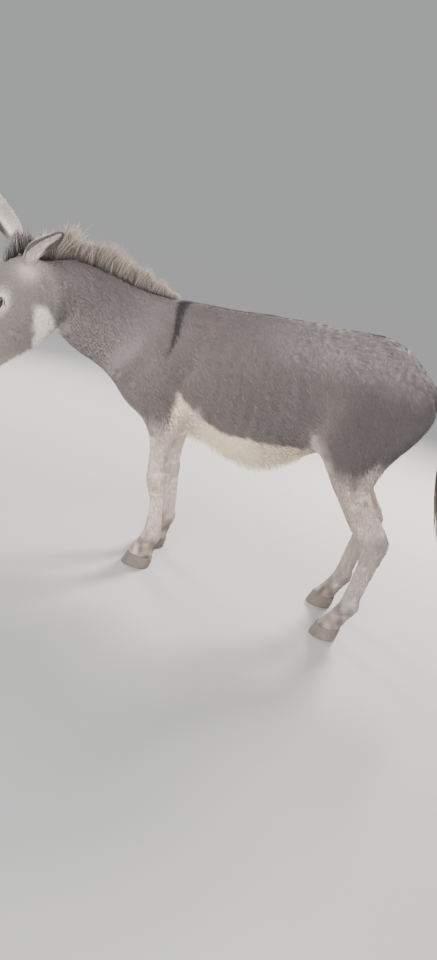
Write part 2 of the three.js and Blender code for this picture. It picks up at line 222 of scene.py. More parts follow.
def tube(rings):
    """A closed skin over rings of equally many points: two triangles between neighbours along and
    round, and a fan from the middle of each end ring. Returns points and triangles."""
    count, sides = rings.shape[:2]
    points = np.vstack([rings.reshape(-1, 3), rings[0].mean(0), rings[-1].mean(0)])
    row, i = np.meshgrid(np.arange(count - 1) * sides, np.arange(sides), indexing="ij")
    j = (i + 1) % sides
    a, b, c, d = row + i, row + j, row + sides + j, row + sides + i
    wall = np.stack([a, b, c, a, c, d], -1).reshape(-1, 3)
    side, next_side = np.arange(sides), (np.arange(sides) + 1) % sides
    first, last = np.full(sides, count * sides), np.full(sides, count * sides + 1)
    end = (count - 1) * sides
    caps = np.vstack([np.c_[first, next_side, side], np.c_[last, end + side, end + next_side]])
    faces = np.vstack([wall, caps])
    corner = points[faces]
    volume = np.einsum("ij,ij->i", corner[:, 0], np.cross(corner[:, 1], corner[:, 2])).sum()
    return points, faces if volume > 0 else faces[:, ::-1]


def joined(parts):
    """Several (points, triangles) as one."""
    starts = np.cumsum([0] + [len(points) for points, _ in parts[:-1]])
    return np.vstack([points for points, _ in parts]), np.vstack(
        [faces + start for (_, faces), start in zip(parts, starts)]
    )


def under_coat(sides, rows, coat, dome):
    """Rings of (along, across, height) on the sections of a table's rows, each half width and height less
    the coat's depth, times a dome that rounds off an end."""
    along, top, bottom, level, width, above, below = rows
    across, height = section(
        sides,
        (width - coat) * dome,
        (top - level - coat) * dome,
        (level - bottom - coat) * dome,
        above,
        below,
    )
    return np.stack(np.broadcast_arrays(along[:, None], across, level[:, None] + height), -1)


def trunk_rings():
    """Upright rings from the breast to the buttocks, where the dome is √(1 - ¾·ramp²)."""
    rows = rows_at(TRUNK, np.linspace(-0.290, 0.909, 140)).T
    return under_coat(96, rows, BODY_COAT, np.sqrt(1 - ramp(rows[0], 0.86, 0.93) ** 2 * 0.75))


def neck_rings():
    """Upright rings along the neck, each turned about the vertical by its heading to the left."""
    share, x, y, heading, top, bottom, width, above = rows_at(NECK, np.linspace(0, 1, 90)).T
    level = bottom + NECK_WAIST * (top - bottom)
    rows = (share, top, bottom, level, width, above, NECK_FULL_BELOW)
    _, across, height = np.moveaxis(under_coat(80, rows, NECK_COAT, 1.0), -1, 0)
    turn = np.radians(heading)[:, None]
    return np.stack([x[:, None] + across * np.sin(turn), y[:, None] - across * np.cos(turn), height], -1)


def on_head(points):
    """Points of a head 500 long, moved onto the animal."""
    return points @ HEAD_FRAME[:3, :3].T + HEAD_FRAME[:3, 3]


def head_rings():
    """Rings from behind the poll to the lips, where the dome is √(1 - 0.8·ramp²)."""
    rows = rows_at(HEAD, np.linspace(-34, 499, 120)).T
    dome = np.sqrt(1 - ramp(rows[0], 484, 512) ** 2 * 0.8)
    return on_head(under_coat(80, rows, FACE_COAT * 500 / HEAD_LENGTH, dome))


def swing(z, step, hinge):
    """How far a leg has moved at a height: nothing at its hinge, the whole step from the cannon down."""
    return step * np.clip((hinge - z) / (hinge - CANNON_LEVEL), 0, 1)


def leg_rings(rows, stance, side, step, hinge):
    """Level rings down a leg, less the coat's depth, which thins from the body's to the leg's."""
    z, front, back, out, width, full = rows_at(rows, np.linspace(rows[0][0], rows[-1][0], 150)).T
    coat = LEG_COAT + (BODY_COAT - LEG_COAT) * ramp(z, 0.45, 0.7)
    x, y = section(56, (back - front) / 2 - coat, width - coat, width - coat, full, full)
    x = x + ((front + back) / 2 + swing(z, step, hinge))[:, None]
    return np.stack(np.broadcast_arrays(x, (side * stance * out)[:, None] + y, z[:, None]), -1)


def along_tail(share):
    """Points and directions at shares of the tail's length, on the smooth curve through its path."""
    gone = np.r_[0, np.cumsum(np.linalg.norm(np.diff(TAIL_PATH, axis=0), axis=1))]
    rows = np.c_[gone / gone[-1], TAIL_PATH]
    ahead, behind = rows_at(rows, share + 0.004)[:, 1:], rows_at(rows, share - 0.004)[:, 1:]
    return rows_at(rows, share)[:, 1:], unit(ahead - behind)


def dock_rings():
    """Round rings across the tail's curve, closing like a half ellipse past the end of the dock."""
    share = np.linspace(0.0, DOCK_SHARE + 0.1, 80)
    middle, along = along_tail(share)
    width = rows_at(DOCK, np.minimum(share, DOCK_SHARE))[:, 1] - 0.004
    width = width * np.sqrt(1 - ramp(share, 0.5, DOCK_SHARE + 0.11) ** 2)
    wide, high = section(24, width, width, width, 2, 2)
    up = np.cross(along, (0, 1, 0))
    return middle[:, None] + wide[..., None] * np.array([0, 1.0, 0]) + high[..., None] * up[:, None]


def edges_of(faces):
    """Every edge of a set of triangles once, and for each triangle the numbers of its three edges."""
    pairs = np.sort(faces[:, [[0, 1], [1, 2], [2, 0]]].reshape(-1, 2), axis=1).astype(np.int64)
    key, index = np.unique(pairs[:, 0] * (faces.max() + 1) + pairs[:, 1], return_inverse=True)
    return np.c_[key // (faces.max() + 1), key % (faces.max() + 1)], index.reshape(-1, 3)


def smoothed(points, faces, weight, rounds, back=0.0):
    """Moves each point towards the mean of its neighbours by its weight, again and again. With back, each
    round also moves it away by that share, which keeps thin parts from shrinking."""
    a, b = edges_of(faces)[0].T
    count = len(points)
    degree = np.bincount(a, minlength=count) + np.bincount(b, minlength=count)
    for _ in range(rounds):
        for step in (weight, -back * weight) if back else (weight,):
            mean = np.stack(
                [
                    np.bincount(a, points[b, k], count) + np.bincount(b, points[a, k], count)
                    for k in range(3)
                ],
                -1,
            )
            points = points + np.c_[step] * (mean / degree[:, None] - points)
    return points


def normals_of(points, faces):
    """Directions that each point faces: the sum of its triangles' normals, each as long as its area."""
    corner = points[faces]
    face = np.cross(corner[:, 1] - corner[:, 0], corner[:, 2] - corner[:, 0])
    total = [
        sum(np.bincount(faces[:, i], face[:, k], len(points)) for i in range(3)) for k in range(3)
    ]
    return unit(np.stack(total, -1))


def refined(points, faces, chosen):
    """Cuts every edge between two chosen points at its middle: a triangle whose three edges are cut
    becomes four, and one with a single cut edge becomes two, so the skin stays closed."""
    pairs, index = edges_of(faces)
    cut = chosen[pairs].all(1)
    middle = np.where(cut, len(points) + np.cumsum(cut) - 1, -1)[index]
    points = np.vstack([points, points[pairs[cut]].mean(1)])
    cuts = (middle >= 0).sum(1)
    a, b, c = faces[cuts == 3].T
    ab, bc, ca = middle[cuts == 3].T
    four = [np.c_[a, ab, ca], np.c_[ab, b, bc], np.c_[ca, bc, c], np.c_[ab, bc, ca]]
    single = faces[cuts == 1]
    turn = (np.argmax(middle[cuts == 1] >= 0, axis=1)[:, None] + np.arange(3)) % 3
    a, b, c = np.take_along_axis(single, turn, 1).T
    ab = middle[cuts == 1].max(1)
    return points, np.vstack([faces[cuts == 0], *four, np.c_[a, ab, c], np.c_[ab, b, c]])


def mesh_of(name, points, faces):
    """A mesh of triangles, filled from whole arrays."""
    mesh = bpy.data.meshes.new(name)
    mesh.vertices.add(len(points))
    mesh.vertices.foreach_set("co", np.ascontiguousarray(points, np.float32).ravel())
    mesh.loops.add(faces.size)
    mesh.loops.foreach_set("vertex_index", np.ascontiguousarray(faces, np.int32).ravel())
    mesh.polygons.add(len(faces))
    mesh.polygons.foreach_set("loop_start", np.arange(0, faces.size, 3, dtype=np.int32))
    mesh.update(calc_edges=True)
    mesh.shade_smooth()
    return mesh


def piece_of(name, mesh):
    """A named object of a mesh, at the origin."""
    piece = bpy.data.objects.new(name, mesh)
    bpy.context.scene.collection.objects.link(piece)
    return piece


def finished(piece):
    """Points and triangles of a piece with its modifiers carried out. The piece is removed."""
    depsgraph = bpy.context.evaluated_depsgraph_get()
    mesh = bpy.data.meshes.new_from_object(piece.evaluated_get(depsgraph))
    bpy.data.objects.remove(piece)
    mesh.calc_loop_triangles()
    points = np.empty(len(mesh.vertices) * 3, np.float32)
    faces = np.empty(len(mesh.loop_triangles) * 3, np.int32)
    mesh.vertices.foreach_get("co", points)
    mesh.loop_triangles.foreach_get("vertices", faces)
    bpy.data.meshes.remove(mesh)
    return points.reshape(-1, 3).astype(float), faces.reshape(-1, 3)


lofts = [trunk_rings(), neck_rings(), head_rings(), dock_rings(), *(leg_rings(*leg) for leg in LEGS)]
body = piece_of("body_form", mesh_of("body_form", *joined([tube(rings) for rings in lofts])))
union = body.modifiers.new("union", "REMESH")
union.mode = "VOXEL"
union.voxel_size = HIDE_CELL
points, faces = finished(body)


def near(points, middle, radius):
    """1 at a place and fading to 0 with distance from it, as a bell of that radius."""
    return np.exp(-((points - np.array(middle)) ** 2).sum(-1) / radius**2)


def stroke(points, path, width):
    """How near points lie to a path of straight lengths: 1 on it, fading as a bell of that width."""
    path = np.array(path, float)
    best = np.full(len(points), 1e9)
    for start, end in zip(path[:-1], path[1:]):
        along = end - start
        t = np.clip((points - start) @ along / (along @ along), 0, 1)
        best = np.minimum(best, ((points - start - t[:, None] * along) ** 2).sum(1))
    return np.exp(-best / width**2)


# The lofted parts meet in sharp angles, which soft flesh fills: place and reach of each, first those on
# the middle line and at the throat, then those on both sides.
MIDDLE_MEETINGS = [
    ((-0.240, 0.000, 0.660), 0.14),
    ((-0.060, 0.000, 1.060), 0.15),
    ((0.760, 0.000, 0.780), 0.13),
    ((0.880, 0.000, 0.980), 0.09),
    ((-0.500, -0.330, 1.000), 0.13),
    ((-0.545, -0.370, 0.880), 0.10),
    ((-0.520, -0.400, 1.090), 0.09),
]
SIDE_MEETINGS = [
    ((-0.150, 0.120, 0.800), 0.16),
    ((-0.020, 0.100, 0.590), 0.09),
    ((0.600, 0.110, 0.700), 0.13),
    ((0.590, 0.175, 0.960), 0.12),
    ((0.690, 0.150, 1.030), 0.12),
    ((0.590, 0.170, 0.820), 0.11),
    ((0.850, 0.090, 1.000), 0.09),
]
even = np.ones(len(points))
points = smoothed(points, faces, 0.5 * even, 6, 1.04)
meeting = sum(near(points, middle, reach) for middle, reach in MIDDLE_MEETINGS)
for side in (-1, 1):
    meeting += sum(near(points * (1, side, 1), middle, reach) for middle, reach in SIDE_MEETINGS)
points = smoothed(points, faces, 0.6 * np.clip(meeting, 0, 1), 60)

# Muscle, bone and tendon seen through the hide, on the animal's left and mirrored on its right.
# Each is a path of (x, z) seen from the side, its width, and how far it stands out (or in, below 0).
SIDE_FORMS = [
    ([(-0.020, 1.040), (-0.110, 0.900), (-0.205, 0.790)], 0.038, 0.006),
    ([(0.070, 1.020), (0.060, 0.860), (0.020, 0.700)], 0.034, -0.004),
    ([(-0.030, 0.860), (-0.020, 0.740)], 0.075, 0.006),
    ([(-0.232, 0.770), (-0.225, 0.760)], 0.042, 0.007),
    ([(0.050, 0.655), (0.055, 0.640)], 0.030, 0.005),
    ([(-0.175, 0.735), (-0.120, 0.640), (-0.080, 0.590)], 0.020, -0.004),
    ([(0.500, 0.985), (0.545, 0.900)], 0.060, -0.009),
    ([(0.590, 1.050), (0.600, 1.040)], 0.042, 0.009),
    ([(0.600, 1.000), (0.640, 0.860), (0.640, 0.760)], 0.050, 0.004),
    ([(0.585, 0.725), (0.600, 0.705)], 0.045, 0.007),
    ([(0.520, 0.720), (0.575, 0.665)], 0.020, 0.004),
    ([(0.840, 0.985), (0.835, 0.860), (0.785, 0.700)], 0.024, -0.005),
    ([(0.760, 1.020), (0.770, 1.010)], 0.055, 0.005),
    ([(0.905, 0.960), (0.900, 0.930)], 0.034, 0.006),
    ([(0.100, 1.060), (0.300, 1.070), (0.520, 1.085)], 0.030, -0.003),
]
RIB_PLACES = np.arange(0.13, 0.45, 0.045)
SIDE_FORMS += [([(x, 0.960), (x + 0.030, 0.820), (x + 0.022, 0.690)], 0.015, 0.0014) for x in RIB_PLACES]
# The same on the legs, as (x, z) from where the left leg stands, which show on both its faces.
FORE_FORMS = [
    ([(0.022, 0.340), (0.028, 0.260), (0.034, 0.170)], 0.007, -0.004),
    ([(-0.045, 0.560), (-0.020, 0.470)], 0.014, -0.003),
    ([(0.004, 0.395), (0.004, 0.385)], 0.018, 0.003),
    ([(0.052, 0.155), (0.054, 0.145)], 0.016, 0.004),
    ([(0.000, 0.345), (0.030, 0.345)], 0.014, -0.0012),
    ([(0.026, 0.120), (0.000, 0.100)], 0.012, -0.003),
]
HIND_FORMS = [
    ([(0.868, 0.340), (0.866, 0.260), (0.862, 0.180)], 0.007, -0.004),
    ([(0.845, 0.560), (0.880, 0.490)], 0.012, -0.006),
    ([(0.905, 0.470), (0.907, 0.440)], 0.018, 0.004),
    ([(0.820, 0.455), (0.835, 0.440)], 0.022, 0.004),
    ([(0.700, 0.660), (0.760, 0.560)], 0.016, -0.004),
    ([(0.884, 0.156), (0.886, 0.146)], 0.016, 0.004),
    ([(0.850, 0.122), (0.830, 0.100)], 0.012, -0.003),
]


def squared_up(x, y, z, step, hinge):
    """Where points lie front to back once the right leg stands as the left one does."""
    return x - np.where(y > 0, swing(z, step, hinge), 0)


def side_relief(points, normals):
    """How far each point stands out: every form's bell, measured in the side view, on hide that faces
    sideways. A leg's forms also follow the step that its foot has taken."""
    x, y, z = points.T
    sideways = ramp(abs(normals[:, 1]), 0.25, 0.75)
    flat = points[:, [0, 2]]
    low = 1 - ramp(z, 0.60, 0.70)
    raise_by = sum(height * stroke(flat, path, width) for path, width, height in SIDE_FORMS) * (1 - low)
    for forms, step, hinge, owner in [
        (FORE_FORMS, RIGHT_FORE_STEP, FORE_HINGE, x < 0.3),
        (HIND_FORMS, RIGHT_HIND_STEP, HIND_HINGE, x > 0.4),
    ]:
        flat = np.c_[squared_up(x, y, z, step, hinge), z]
        raise_by = raise_by + owner * low * sum(h * stroke(flat, path, w) for path, w, h in forms)
    return raise_by * sideways * (x > -0.29)


# Forms on the neck and chest, as (x, y, z) points on them.
NECK_FORMS = [
    ([(-0.275, 0.0, 0.930), (-0.285, 0.0, 0.760)], 0.026, -0.009),
    ([(-0.560, -0.260, 0.960), (-0.400, -0.215, 0.850), (-0.285, -0.120, 0.760)], 0.020, -0.006),
    ([(-0.470, -0.370, 0.950), (-0.360, -0.240, 0.850), (-0.240, -0.150, 0.760)], 0.020, -0.006),
    ([(-0.455, -0.330, 1.060), (-0.330, -0.180, 0.990), (-0.170, -0.130, 0.900)], 0.035, 0.004),
    ([(-0.425, -0.330, 1.080), (-0.415, -0.320, 0.960)], 0.007, -0.0022),
    ([(-0.385, -0.290, 1.060), (-0.380, -0.280, 0.950)], 0.007, -0.0018),
    ([(-0.340, -0.250, 1.030), (-0.335, -0.240, 0.940)], 0.007, -0.0014),
]
normals = normals_of(points, faces)
relief = side_relief(points, normals)
relief += sum(height * stroke(points, path, width) for path, width, height in NECK_FORMS)
points = points + normals * relief[:, None]

# The head and the lower legs are refined, and then the eyes, nostrils and lips once more.
HEAD_INVERSE = np.linalg.inv(HEAD_FRAME)
EYE_RADIUS = 17.3  # this and the other sizes on the head are for one 500 long
EYE_PLACE = np.array([145.0, 85.0, -39.0])
EYE_GAZE = unit(np.array([0.28, 0.93, 0.20]))
EYE_LENGTHWISE = unit(np.cross(EYE_GAZE, np.cross([1.0, 0.0, -0.25], EYE_GAZE)))
EYE_UPRIGHT = np.cross(EYE_LENGTHWISE, EYE_GAZE)
EYE_SLIT = 58  # half length of the slit between the lids, in degrees round the eyeball
UPPER_LID, LOWER_LID = 34, 28  # how far the slit opens up and down, the same way
LID_THICK = 2.6
LID_TUCK = 5.0  # how far behind the eyeball's face the hide turns in
LID_REACH = 60
NOSTRIL_PLACE = np.array([469.0, 35.0, -82.0])


def in_head(points):
    """Points in the head's own frame, on a head 500 long."""
    return points @ HEAD_INVERSE[:3, :3].T + HEAD_INVERSE[:3, 3]


def both_sides(head_points):
    """The head's points with the right half laid on the left, and the side of each, 1 for the left."""
    side = np.where(head_points[:, 1] < 0, -1.0, 1.0)
    return head_points * np.c_[np.ones(len(side)), side, np.ones(len(side))], side


def past_throat(points):
    """1 on the head, 0 on the neck, with a soft change at the throat."""
    return ramp((points - (-0.508, -0.330, 1.0)) @ unit(np.array([-0.62, -0.78, 0.0])), -0.02, 0.02)


points, faces = refined(points, faces, (past_throat(points) > 0.1) | (points[:, 2] < 0.46))
evened = (past_throat(points) > 0) | (points[:, 2] < 0.48)
points = smoothed(points, faces, 0.5 * evened, 3, 1.03)
fine, _ = both_sides(in_head(points))
detail = (near(fine, EYE_PLACE, 45) > 0.37) | ((fine[:, 0] > 410) & (past_throat(points) > 0.5))
points, faces = refined(points, faces, detail)
points, faces = refined(points, faces, near(both_sides(in_head(points))[0], EYE_PLACE, 30) > 0.37)
points = smoothed(points, faces, 0.5 * (near(both_sides(in_head(points))[0], EYE_PLACE, 45) > 0.3), 2)

# Bone, muscle and lips on the left of the head, mirrored on its right: paths, width and height.
HEAD_FORMS = [
    ([(122, 92, -8), (165, 90, -6)], 11, 3.5),
    ([(104, 74, 4), (112, 78, 4)], 15, -4.5),
    ([(182, 96, -74), (240, 76, -84), (290, 62, -86)], 7, 3.2),
    ([(178, 96, -52), (215, 80, -62)], 8, -1.8),
    ([(95, 98, -150), (100, 98, -140)], 48, 3.0),
    ([(196, 84, -120), (182, 76, -190)], 11, -3.0),
    ([(30, 84, -180), (22, 78, -110)], 9, -3.0),
    ([(60, 0, -250), (200, 0, -232), (310, 0, -176)], 20, -8.0),
    ([(250, 40, -10), (330, 30, -16), (400, 26, -24)], 12, 1.6),
    ([(300, 50, -50), (380, 48, -56)], 13, -2.0),
    ([(470, 0, -142), (476, 0, -138)], 20, 2.5),
    ([(440, 44, -66), (455, 42, -60)], 12, 2.5),
]
MOUTH_LINE = np.array([(505, 0, -108), (497, 24, -112), (478, 46, -117), (448, 56, -121), (412, 56, -121)])
SIDEWAYS_LESS = np.array([1.0, 0.2, 1.0])  # the line lies on lips of any fullness


def eye_angles(left):
    """For points on the left of the head: how many degrees outside the slit between the lids each one is
    seen from the middle of the eyeball, below 0 inside it. The slit is two half ellipses."""
    toward = unit(left - EYE_PLACE)
    off = np.degrees(np.arccos(np.clip(toward @ EYE_GAZE, -1, 1)))
    lengthwise, upright = toward @ EYE_LENGTHWISE, toward @ EYE_UPRIGHT
    reach = np.hypot(lengthwise / EYE_SLIT, upright / np.where(upright > 0, UPPER_LID, LOWER_LID))
    return off - np.hypot(lengthwise, upright) / np.maximum(reach, 1e-6)


def nostril_reach(left):
    """Distance from the middle of the nostril in half widths of its long oval, which slants down and in."""
    offset = left - NOSTRIL_PLACE
    long_way, wide_way = unit(np.array([0.35, -0.25, -0.9])), unit(np.array([-0.75, 0.6, -0.45]))
    far = (np.linalg.norm(offset, axis=1) / 40) ** 4
    return np.sqrt((offset @ long_way / 13) ** 2 + (offset @ wide_way / 6.5) ** 2 + far)


def mouth_line(left, width):
    """1 on the line between the lips and fading from it, however full the lips are."""
    return stroke(left * SIDEWAYS_LESS, MOUTH_LINE * SIDEWAYS_LESS, width)


def mirrored(side):
    """What turns points on the left into points on each one's own side."""
    return np.c_[np.ones(len(side)), side, np.ones(len(side))]


left, side = both_sides(in_head(points))
on_face = past_throat(points) > 0.5
outward = normals_of(points, faces) @ HEADWARD
relief = sum(height * stroke(left, path, width) for path, width, height in HEAD_FORMS)
relief -= 5.0 * mouth_line(left, 3.0)
nostril = nostril_reach(left)
relief += 3.0 * np.exp(-((nostril - 1.5) / 0.45) ** 2) - 11 * (1 - ramp(nostril, 0.55, 1.15))
shaped = left + outward * mirrored(side) * relief[:, None]
beyond = eye_angles(shaped)
offset = shaped - EYE_PLACE
distance = np.linalg.norm(offset, axis=1)
# the lids wrap the eyeball, with a raised rim by the slit and a fold behind it
lid = (1 - ramp(beyond, 12, 40)) * (distance < LID_REACH)
rim, fold = np.exp(-((beyond - 5) / 4) ** 2), np.exp(-((beyond - 17) / 5) ** 2)
depth = EYE_RADIUS + LID_THICK - (LID_THICK + LID_TUCK) * (1 - ramp(beyond, -5, 2))
depth += 1.2 * rim - 1.0 * fold
distance_new = distance + lid * (depth - distance)
shaped = EYE_PLACE + offset * (distance_new / np.maximum(distance, 1e-6))[:, None]
shaped *= mirrored(side)
points = np.where(on_face[:, None], on_head(shaped), points)

# The ears are long scrolls of gristle under thin skin, open to the front, and grow out of the hide.
# share of the length, half width, depth of the back, depth of the hollow
EAR = [
    (0.0, 0.026, 0.026, -0.026),
    (0.1, 0.030, 0.028, -0.016),
    (0.2, 0.036, 0.032, 0.008),
    (0.3, 0.042, 0.034, 0.023),
    (0.42, 0.045, 0.034, 0.027),
    (0.58, 0.043, 0.030, 0.024),
    (0.76, 0.034, 0.022, 0.017),
    (0.9, 0.022, 0.014, 0.010),
    (1.0, 0.009, 0.005, 0.001),
]
EARS = {
    "left": ((-4, 50, -36), (-0.51, 0.853, 0.112), (0.604, 0.448, -0.660)),
    "right": ((-20, -40, -26), (-0.36, -0.3, 0.88), (0.45, -0.85, 0.1)),
}
EAR_COAT = 0.0022


def ear_frame(side):
    """Where an ear starts, where it points, where its hollow faces, and the direction across it."""
    foot, along, facing = (np.array(part, float) for part in EARS[side])
    up, front = unit(HEADWARD @ along), unit(HEADWARD @ facing)
    front = unit(front - (front @ up) * up)
    return on_head(foot), up, front, np.cross(up, front)


def ear_rings(side):
    """Rings up an ear: half an ellipse for its back, closed in front by its hollow, under the coat."""
    start, up, front, across = ear_frame(side)
    share, width, back, hollow = rows_at(EAR, np.linspace(0, 0.99, 64)).T
    wide, high = section(44, width - EAR_COAT, -hollow - EAR_COAT * (hollow < 0), back - EAR_COAT, 2, 2)
    rise = (share * EAR_LENGTH)[:, None, None]
    return start + rise * up + wide[..., None] * across + high[..., None] * front


hide = piece_of("hide", mesh_of("hide", points, faces))
ears = [piece_of("ear", mesh_of("ear", *tube(ear_rings(side)))) for side in EARS]
for ear in ears:
    grown = hide.modifiers.new("ear", "BOOLEAN")
    grown.operation = "UNION"
    grown.solver = "MANIFOLD"
    grown.object = ear
points, faces = finished(hide)
for ear in ears:
    bpy.data.objects.remove(ear)
ear_foot = np.clip(sum(near(points, ear_frame(side)[0], 0.040) for side in EARS) * 1.4, 0, 1)
points = smoothed(points, faces, 0.6 * ear_foot, 12)
points += ORIGIN
normals = normals_of(points, faces)
hide = piece_of("hide", mesh_of("hide", points, faces))
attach(hide, "root")
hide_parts("head", "neck", "trunk", "tail", "ear_left", "ear_right")
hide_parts("foreleg_left", "foreleg_right", "hindleg_left", "hindleg_right")


# ---- Paint ---------------------------------------------------------------------------------------
# Every finish below is mixed from the same few nodes, written as sums on the outputs of other nodes.
class Wire:
    """One output of a shader node. Arithmetic on it adds Math nodes."""

    def __init__(self, finish, socket):
        self.finish, self.socket = finish, socket

    def maths(self, operation, first, second):
        return self.finish.node("ShaderNodeMath", {"operation": operation}, {0: first, 1: second})

    def __add__(self, other):
        return self.maths("ADD", self, other)

    def __sub__(self, other):
        return self.maths("SUBTRACT", self, other)

    def __mul__(self, other):
        return self.maths("MULTIPLY", self, other)

    def __rsub__(self, other):
        return self.maths("SUBTRACT", other, self)

    __radd__ = __add__
    __rmul__ = __mul__


class Finish:
    """A material: its one shader, and the nodes that feed it."""

    def __init__(self, name, **constants):
        self.material = bpy.data.materials.new(name)
        self.material.use_nodes = True
        self.tree = self.material.node_tree
        self.shader = self.tree.nodes["Principled BSDF"]
        self.feed({key.replace("_", " "): value for key, value in constants.items()})

    def feed(self, sockets, node=None):
        for key, value in sockets.items():
            socket = (node or self.shader).inputs[key]
            if isinstance(value, Wire):
                self.tree.links.new(value.socket, socket)
            else:
                socket.default_value = value

    def node(self, kind, settings=None, sockets=None, output=0):
        """A new node with its settings made first and then its sockets fed, as one of its outputs."""
        made = self.tree.nodes.new(kind)
        for key, value in (settings or {}).items():
            setattr(made, key, value)
        self.feed(sockets or {}, made)
        return Wire(self, made.outputs[output])

    def shade(self, factor, first, second, kind="MIX"):
        """Two colours mixed by a factor."""
        settings = {"data_type": "RGBA", "blend_type": kind}
        return self.node("ShaderNodeMix", settings, {0: factor, 6: first, 7: second}, 2)

    def noise(self, vector, scale, detail=3.0, roughness=0.55):
        sockets = {"Vector": vector, "Scale": scale, "Detail": detail, "Roughness": roughness}
        return self.node("ShaderNodeTexNoise", {}, sockets)

    def stretched(self, scale):
        """The piece's own place, squeezed along each axis by a scale."""
        place = self.node("ShaderNodeTexCoord", {}, {}, 3)
        return self.node("ShaderNodeVectorMath", {"operation": "MULTIPLY"}, {0: place, 1: scale})

    def bump(self, height, strength, distance):
        sockets = {"Height": height, "Strength": strength, "Distance": distance}
        self.feed({"Normal": self.node("ShaderNodeBump", {}, sockets)})


def wear(piece, finish):
    piece.data.materials.append(finish.material)


def tinted(mesh, colours):
    """Gives each point of a mesh its own colour, as the attribute that the hair finishes read."""
    attribute = mesh.attributes.new("tint", "FLOAT_COLOR", "POINT")
    full = np.ones((len(mesh.vertices), 4), np.float32)
    full[:, :3] = colours
    attribute.data.foreach_set("color", full.ravel())


# ---- Mane, forelock and tail tuft ----------------------------------------------------------------
# Long hair grows in locks out of the crest of the neck, between the ears and from the end of the dock.
# It is coarse and dry, nearly black at the root and bleached to tan at the tips.
MANE_HEIGHT = 0.128
MANE_LOCKS = 2400
TAIL_LENGTH = 0.640
MANE_BUNCH = 9  # locks that share a place
ROOT_DEPTH = 0.012  # how deep the long hair starts in the flesh
FORELOCK_LOCKS = 300
TUFT_LOCKS = 620
HAIR_ROOT = (0.105, 0.094, 0.092)
HAIR_TIP = (0.580, 0.465, 0.395)
FORELOCK_ROOT, FORELOCK_TIP = (0.060, 0.058, 0.062), (0.300, 0.260, 0.240)
TAIL_ROOT, TAIL_TIP = (0.045, 0.036, 0.032), (0.16, 0.12, 0.10)
CROWN = (1.14, -0.573, -0.422, 53, 1.122, 0.930, 0.06, 1.8)  # the neck's row above the poll
# share of the neck's length, height as a share of the tallest, half thickness of the row of roots
MANE = [
    (0.1, 0.08, 0.004),
    (0.18, 0.27, 0.007),
    (0.27, 0.46, 0.009),
    (0.36, 0.63, 0.010),
    (0.45, 0.60, 0.011),
    (0.54, 0.72, 0.011),
    (0.62, 0.84, 0.011),
    (0.70, 0.64, 0.011),
    (0.76, 0.56, 0.011),
    (0.82, 0.80, 0.011),
    (0.87, 1.00, 0.011),
    (0.93, 0.88, 0.011),
    (1.0, 0.66, 0.011),
    (1.1, 0.60, 0.011),
]
random = np.random.default_rng(7)


def locks(root, along, up, length, width, bend, stations):
    """Pointed three-sided locks. Each one's middle line is root + length·(along·t + bend·t²), and its
    width narrows as 1 - t². Returns points, triangles, and each point's lock and t."""
    count = len(root)
    t = np.linspace(0, 1, stations + 1)
    length, width = np.broadcast_to(length, count)[:, None, None], np.broadcast_to(width, count)
    line = root[:, None] + length * (along[:, None] * t[:, None] + bend[:, None] * t[:, None] ** 2)
    heading = unit(along[:, None] + 2 * bend[:, None] * t[:, None])
    side = unit(np.cross(up[:, None], heading))
    top = np.cross(heading, side)
    half = 0.5 * width[:, None] * (1 - t**2) + 1e-5
    half = half[..., None]
    corners = np.stack([line - side * half, line + top * half, line + side * half], 2)[:, :-1]
    points = np.concatenate([corners.reshape(count, -1, 3), line[:, -1:]], 1)
    each = points.shape[1]
    ring = np.arange(stations - 1)[:, None] * 3
    a, b = ring + np.arange(3), ring + (np.arange(3) + 1) % 3
    wall = np.stack([a, a + 3, b + 3, a, b + 3, b], -1).reshape(-1, 3)
    last, tip = 3 * (stations - 1) + np.arange(3), np.full(3, each - 1)
    shape = np.vstack([wall, np.c_[last, tip, np.roll(last, -1)], [[0, 1, 2]]])
    faces = (shape[None] + (np.arange(count) * each)[:, None, None]).reshape(-1, 3)
    share = np.tile(np.r_[np.repeat(t[:-1], 3), 1.0], count)
    return points.reshape(-1, 3), faces, np.repeat(np.arange(count), each), share


def hair_tint(owner, share, root, tip, turn=1.0, spread=0.18):
    """Colour along each lock, from root to tip, with some locks lighter and some darker."""
    lock = 1 + spread * random.normal(size=owner.max() + 1)
    mixed = np.array(root) + (share**turn)[:, None] * (np.array(tip) - np.array(root))
    return mixed * np.clip(lock, 0.45, 1.7)[owner][:, None]


def long_hair(name, node, made, colours):
    """A piece of locks with their colours, in the place of the node that stands for it."""
    points, faces, _, _ = made
    piece = piece_of(name, mesh_of(name, points + ORIGIN, faces))
    tinted(piece.data, colours)
    wear(piece, hair_finish)
    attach(piece, "root")
    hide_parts(node)


hair_finish = Finish("long_hair", Roughness=0.62, Specular_IOR_Level=0.35)
strand = hair_finish.noise(hair_finish.stretched((420.0, 420.0, 60.0)), 1.0, 2.0)
tint = hair_finish.node("ShaderNodeAttribute", {"attribute_name": "tint"})
hair_finish.feed({"Base Color": hair_finish.shade(0.55, tint, strand * 1.7 - 0.1, "MULTIPLY")})
hair_finish.bump(strand, 0.5, 0.0015)

